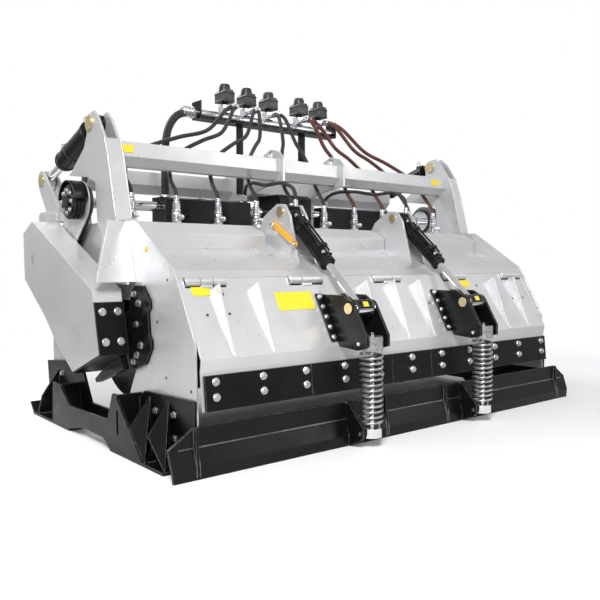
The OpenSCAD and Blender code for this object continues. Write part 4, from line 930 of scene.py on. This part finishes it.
@dataclass
class Fittings:
    """Nozzle valves, drive housings' lids, oil ports, nuts and grease nipples."""

    lift_x: float = 1.1965
    lift_top: Spot = (0.030, 1.445)
    lift_end: Spot = (0.670, 1.240)
    spring_x: float = 0.397
    door_top: Spot = (-0.400, 1.050)
    rod_eye: Spot = (-0.900, 0.604)
    flange_shift: float = 0.091
    flange_bolts: tuple[float, ...] = (0.095, 0.145, 0.195, 0.245, 0.295)
    door_spots: Spots = (
        (-1.09, 0.15), (-0.985, 0.15), (0.985, 0.15), (1.09, 0.15), (0.245, 0.15), (0.62, 0.16),
        (-1.06, 0.06), (-0.99, 0.06), (0.86, 0.06), (0.70, 0.06), (-0.30, 0.16))
    panel_spots: Spots = ((-0.591, 0.337), (-0.566, 0.252), (-0.787, 0.308), (-0.608, 0.734), (-0.52, 0.56))
    lever_spots: Spots = ((-0.36, 0.99), (-0.524, 0.89))
    limiter: Place = (1.3002, 0.15, 1.09)
    lid: Spot = (0.27, 1.7072)
    pipe: Spots = ((0.058, 0.026), (0.064, 0.034), (0.085, 0.0375), (0.200, 0.0375), (0.325, 0.0375),
                              (0.345, 0.034), (0.350, 0.026))
    pipe_half: float = 0.021
    pipe_radius: float = 0.0052
    coupling: Spots = ((0.0245, 1.0045), (0.0245, 1.008), (0.0175, 1.011), (0.0175, 1.016), (0.023, 1.019),
                                  (0.023, 1.028), (0.0175, 1.031))
    cap_ring: Spots = ((0.0205, 1.051), (0.0215, 1.053), (0.0215, 1.059), (0.0205, 1.061))
    handle: Spots = ((0.009, 0), (0.009, 0.022), (0.013, 0.024), (0.013, 0.034), (0.009, 0.036))
    knob: Spots = ((0.0335, -0.006), (0.0325, 0.010), (0.0285, 0.030), (0.0265, 0.034))
    cable_gland: Spots = ((0.008, 0), (0.008, 0.016), (0.0065, 0.018))
    screw: Spots = ((0.0035, 0), (0.0035, 0.0012), (0.0028, 0.0016))
    collar: Spots = ((0.050, 0), (0.0535, 0.002), (0.0535, 0.014), (0.050, 0.016))
    port: Spots = ((0.02, 0), (0.02, 0.010), (0.018, 0.012))
    stem: Spots = ((0.0105, 0), (0.0105, 0.018), (0.009, 0.02))
    # Profile of a thin dark disc: painted shade for the inside of a small hole.
    hole: Spots = ((0.0065, 0), (0.0065, 0.0004))
    limiter_cap: Spots = ((0.034, 0), (0.034, 0.006), (0.029, 0.010))
    sleeves: tuple[tuple[float, ...], ...] = ((0.038, 0.0343, 0.106, -0.053), (0.0405, 0.0375, 0.006, -0.05),
                                              (0.0405, 0.0375, 0.006, 0.044))
    hoses: Hoses = field(default_factory=Hoses)

    @staticmethod
    def circle(count: int) -> list[Vector]:
        """Returns evenly turned ways round the x axis."""
        return [Vector((0, math.cos(k * math.tau / count), math.sin(k * math.tau / count)))
                for k in range(count)]

    def nozzle_valves(self) -> None:
        """Adds the coupling, ring and side handle of every nozzle."""
        metal = bmesh.new()
        for k in range(self.hoses.nozzles):
            foot = Vector((self.hoses.nozzle_x(k), self.hoses.nozzle_y, 0))
            Shop.lathe(metal, self.coupling, foot, UP)
            Shop.nut(metal, 0.047, 0.014, foot + UP * 1.033, UP)
            Shop.lathe(metal, self.handle, foot + Vector((0, -0.018, 1.023)), BACK, 18)
            Shop.lathe(metal, self.cap_ring, foot, UP)
        Shop.mount("nozzle_couplings", metal, Finish.ZINC, "root")

    def valve_lids(self) -> None:
        """Adds domes, screws and cable glands to the valve drives, and plugs to their bodies."""
        plastic, metal = bmesh.new(), bmesh.new()
        for x in self.hoses.valve_x:
            centre = Vector((x, *self.lid))
            Shop.block(plastic, (0.078, 0.096, 0.012), centre + UP * 0.004, None, 0.003)
            Shop.lathe(plastic, self.cable_gland, centre + Vector((0.037, 0, 0.022)), RIGHT, 16)
            Shop.block(plastic, (0.080, 0.098, 0.008), centre + UP * 0.048, None, 0.003)
            Shop.lathe(plastic, self.knob, centre + UP * 0.0672, UP)
            for way in self.circle(6):
                turned = Vector((way.y, way.z, 0))
                Shop.block(plastic, (0.006, 0.006, 0.022), centre + turned * 0.0305 + UP * 0.080,
                           None, 0.0015)
            for sx in (-1, 1):
                for sy in (-1, 1):
                    Shop.lathe(metal, self.screw, centre + Vector((sx * 0.033, sy * 0.041, 0.0095)), UP, 12)
            Shop.nut(metal, 0.026, 0.008, centre + Vector((0, -0.026, -0.037)), BACK)
        Shop.mount("drive_lids", plastic, Finish.BLACK_PLASTIC, "root")
        Shop.mount("drive_screws", metal, Finish.ZINC, "root")

    def cylinders(self) -> None:
        """Adds ports and collars to the lift cylinders."""
        start, low = Vector((0, *self.lift_top)), Vector((0, *self.lift_end))
        way = (low - start).normalized()
        up = Vector((0, -way.z, way.y))
        for side, tag in SIDES:
            metal, black = bmesh.new(), bmesh.new()
            top = start + RIGHT * side * self.lift_x
            for along in (0.115, 0.415):
                foot = top + way * along
                Shop.lathe(black, self.port, foot + up * 0.047, up, 24)
                Shop.nut(metal, 0.03, 0.014, foot + up * 0.059, up)
                Shop.lathe(metal, self.stem, foot + up * 0.073, up, 20)
            for along in (0.076, 0.405):
                Shop.lathe(black, self.collar, top + way * along, way, 40)
            Shop.mount(f"{tag}_lift_ports", metal, Finish.ZINC, "lift_barrel")
            Shop.mount(f"{tag}_lift_collars", black, Finish.BLACK_PAINT, "lift_barrel")

    def door_bosses(self) -> None:
        """Adds black sleeves with a blank patch round the rods' eyes, and the brackets' bolted flanges."""
        bolts, flanges = bmesh.new(), bmesh.new()
        for side, tag in SIDES:
            eye = Vector((side * self.spring_x, *self.rod_eye))
            sleeve, patch = bmesh.new(), bmesh.new()
            for outer, inner, length, x in self.sleeves:
                Shop.ring(sleeve, outer, inner, length, eye + RIGHT * x, RIGHT)
            Shop.mount(f"{tag}_rod_sleeve", sleeve, Finish.BLACK_PAINT, "door_rod")
            Shop.block(patch, (0.032, 0.024, 0.0014), eye + DOOR_OUT * 0.0384, DOOR_TURN, 0.0004, 1)
            Shop.mount(f"{tag}_rod_patch", patch, Finish.YELLOW_PATCH, "door_rod", False)
            x = side * self.spring_x - self.flange_shift
            Shop.block(flanges, (0.036, 0.235, 0.010), on_door(x, 0.195, 0.0056), DOOR_TURN)
            for down in self.flange_bolts:
                Shop.bolt(bolts, 0.0105, on_door(x - 0.001, down, 0.0106), DOOR_OUT)
        Shop.mount("bracket_flanges", flanges, Finish.BLACK_PAINT, "door")
        Shop.mount("bracket_bolts", bolts, Finish.ZINC, "door")

    def hole_shade_discs(self) -> None:
        """Adds thin dark discs on the door and the side panels, painted shade where each small hole is."""
        door, panels = bmesh.new(), bmesh.new()
        for x, down in self.door_spots:
            # Each disc is a black sheet on the skin, painted shade for the dark inside of a hole.
            Shop.lathe(door, self.hole, on_door(x, down, 0.0001), DOOR_OUT, 20)
        for side, _ in SIDES:
            for spot in self.panel_spots:
                Shop.lathe(panels, self.hole, Vector((side * 1.1901, *spot)), RIGHT * side, 20)
        Shop.mount("door_hole_shade_discs", door, Finish.RUBBER, "door")
        Shop.mount("panel_hole_shade_discs", panels, Finish.RUBBER, "root")

    def limiter_bolts(self) -> None:
        """Adds a cap and a circle of bolts to each torque limiter's outer face, and the lever's bolts."""
        metal, black, lever = bmesh.new(), bmesh.new(), bmesh.new()
        for side, _ in SIDES:
            face, out = Vector((side * self.limiter[0], *self.limiter[1:])), RIGHT * side
            Shop.lathe(black, self.limiter_cap, face, out, 32)
            for way in self.circle(8):
                Shop.bolt(metal, 0.0085, face + way * 0.053, out)
        Shop.mount("limiter_caps", black, Finish.BLACK_PAINT, "cross_drive")
        Shop.mount("limiter_bolts", metal, Finish.ZINC, "cross_drive")
        for spot in self.lever_spots:
            Shop.bolt(lever, 0.011, Vector((-0.4742, *spot)), -RIGHT)
        Shop.mount("lever_bolts", lever, Finish.ZINC, "lock_lever")

    def door_lines(self) -> None:
        """Adds two steel oil lines with their clamps and nuts along each door cylinder."""
        top, low = Vector((0, *self.door_top)), Vector((0, *self.rod_eye))
        way = (low - top).normalized()
        up = Vector((0, way.z, -way.y))
        turn = Matrix((RIGHT, way, up)).transposed()
        for side, tag in SIDES:
            lines, nuts = bmesh.new(), bmesh.new()
            centre = top + RIGHT * side * self.spring_x
            for shift in (-self.pipe_half, self.pipe_half):
                base = centre + RIGHT * shift
                path = smooth_path([base + way * along + up * lift for along, lift in self.pipe], 6)
                Shop.tube(lines, path, [self.pipe_radius] * len(path), 12)
                for along in (0.063, 0.331):
                    Shop.nut(nuts, 0.019, 0.014, base + way * along + up * 0.0365, way)
            for along in (0.125, 0.285):
                middle = centre + way * along
                Shop.block(lines, (0.062, 0.020, 0.014), middle + up * 0.0385, turn, 0.0025)
                Shop.ring(lines, 0.0375, 0.0352, 0.020, middle - way * 0.010, way)
            Shop.mount(f"{tag}_oil_lines", lines, Finish.BLACK_PAINT, "door_barrel")
            Shop.mount(f"{tag}_line_nuts", nuts, Finish.ZINC, "door_barrel")

    def build(self) -> None:
        """Adds every fitting."""
        for step in (self.door_lines, self.door_bosses, self.hole_shade_discs, self.limiter_bolts, self.nozzle_valves,
                     self.valve_lids, self.cylinders):
            step()


@dataclass
class Studio:
    """Camera, floor, lamps and world."""

    eye: Place = (-2.563, -3.114, 0.805)
    yaw: float = 39.43
    pitch: float = 3.08
    lens: float = 42.1
    sensor: float = 36.0
    floor_size: float = 60.0
    floor_colour: Colour = (0.93, 0.93, 0.93)
    floor_fade: Spot = (1.7, 3.6)
    sky: float = 0.34
    gloss_sky: float = 0.40
    middle: Place = (0, 0, 0.6)
    lamps: tuple[tuple[str, Place, float, float], ...] = (
        ("key", (-4.2, -4.6, 5.2), 2.2, 560), ("fill", (4.0, -5.5, 3.0), 3.0, 80),
        ("back", (-1.5, 5.0, 5.0), 3.0, 240))

    def camera(self) -> None:
        """Sets the camera where the photograph was taken from."""
        data = bpy.data.cameras.new("camera")
        data.lens, data.sensor_width, data.clip_end = self.lens, self.sensor, 200.0
        view = placed("camera", data)
        view.location = self.eye
        view.rotation_euler = (math.radians(90 - self.pitch), 0.0, -math.radians(self.yaw))
        bpy.context.scene.camera = view

    def floor(self) -> None:
        """Lays the pale floor."""
        form = bmesh.new()
        bmesh.ops.create_grid(form, x_segments=1, y_segments=1, size=self.floor_size)
        bmesh.ops.translate(form, vec=(0, 0, -0.0005), verts=form.verts)
        mesh = bpy.data.meshes.new("floor")
        form.to_mesh(mesh)
        form.free()
        wiring = Wiring("floor_finish")
        shade = wiring.spread(wiring.noise(0.8, 2.0), 0.3, 0.7)
        pale = wiring.blend(shade, tuple(c * 0.985 for c in self.floor_colour), self.floor_colour)
        wiring.join(pale, wiring.shader.inputs["Base Color"])
        wiring.shader.inputs["Roughness"].default_value = 0.9
        far = wiring.add("ShaderNodeVectorMath", operation="LENGTH")
        wiring.join(wiring.place, far.inputs[0])
        glow = wiring.add("ShaderNodeEmission")
        seen = wiring.add("ShaderNodeLightPath").outputs["Is Camera Ray"]
        wiring.join(wiring.spread(seen, 0.0, 1.0, self.sky, 1.0), glow.inputs["Strength"])
        mix = wiring.add("ShaderNodeMixShader")
        wiring.join(wiring.spread(far.outputs["Value"], *self.floor_fade), mix.inputs[0])
        wiring.join(wiring.shader.outputs[0], mix.inputs[1])
        wiring.join(glow.outputs[0], mix.inputs[2])
        wiring.join(mix.outputs[0], wiring.nodes["Material Output"].inputs["Surface"])
        mesh.materials.append(wiring.material)
        placed("floor", mesh)

    def lamp(self, name: str, place: Place, size: float, power: float) -> None:
        """Hangs one soft lamp that faces the machine.

        Args:
            name: The lamp's name.
            place: Where it hangs.
            size: Its width.
            power: Its power in watts.
        """
        data = bpy.data.lights.new(name, "AREA")
        data.shape, data.size, data.energy = "DISK", size, power
        lamp = placed(name, data)
        lamp.location = place
        lamp.rotation_mode = "QUATERNION"
        lamp.rotation_quaternion = (Vector(self.middle) - Vector(place)).to_track_quat("-Z", "Y")

    def world(self) -> None:
        """Makes the world pale to the eye and in reflections, and softer as light."""
        world = bpy.data.worlds.new("studio")
        world.use_nodes = True
        net = Net(world.node_tree)
        back = net.nodes["Background"]
        back.inputs["Color"].default_value = (1, 1, 1, 1)
        rays = net.add("ShaderNodeLightPath").outputs
        plain = net.times(rays["Is Camera Ray"], rays["Is Transmission Ray"], "MAXIMUM")
        share = net.times(plain, net.times(rays["Is Glossy Ray"], self.gloss_sky), "MAXIMUM")
        net.join(net.spread(share, 0.0, 1.0, self.sky, 1.0), back.inputs["Strength"])
        bpy.context.scene.world = world

    def build(self) -> None:
        """Sets the whole studio."""
        self.camera()
        self.floor()
        for lamp in self.lamps:
            self.lamp(*lamp)
        self.world()
        bpy.context.scene.view_settings.view_transform = "Standard"


def dress_nodes(frame: dict) -> None:
    """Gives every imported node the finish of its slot.
    """
    slots = {part["node"]: part["material_slot"] for part in frame["record"]["subparts"]}
    finishes = {finish.value.name: finish for finish in Finish}
    for name, piece in frame["nodes"].items():
        material = finishes[slots[name]].material()
        if not piece.material_slots:
            piece.data.materials.append(material)
        for slot in piece.material_slots:
            slot.material = material


def main() -> None:
    """Builds the whole scene."""
    logging.basicConfig(level=logging.INFO, format="%(message)s")
    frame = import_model()
    Studio().build()
    dress_nodes(frame)
    for group in (Hoses(), Springs(), Welds(), Patches(), Fittings()):
        group.build()
    LOG.info("%d pieces added", len(Shop.made))


if __name__ == "__main__":
    main()
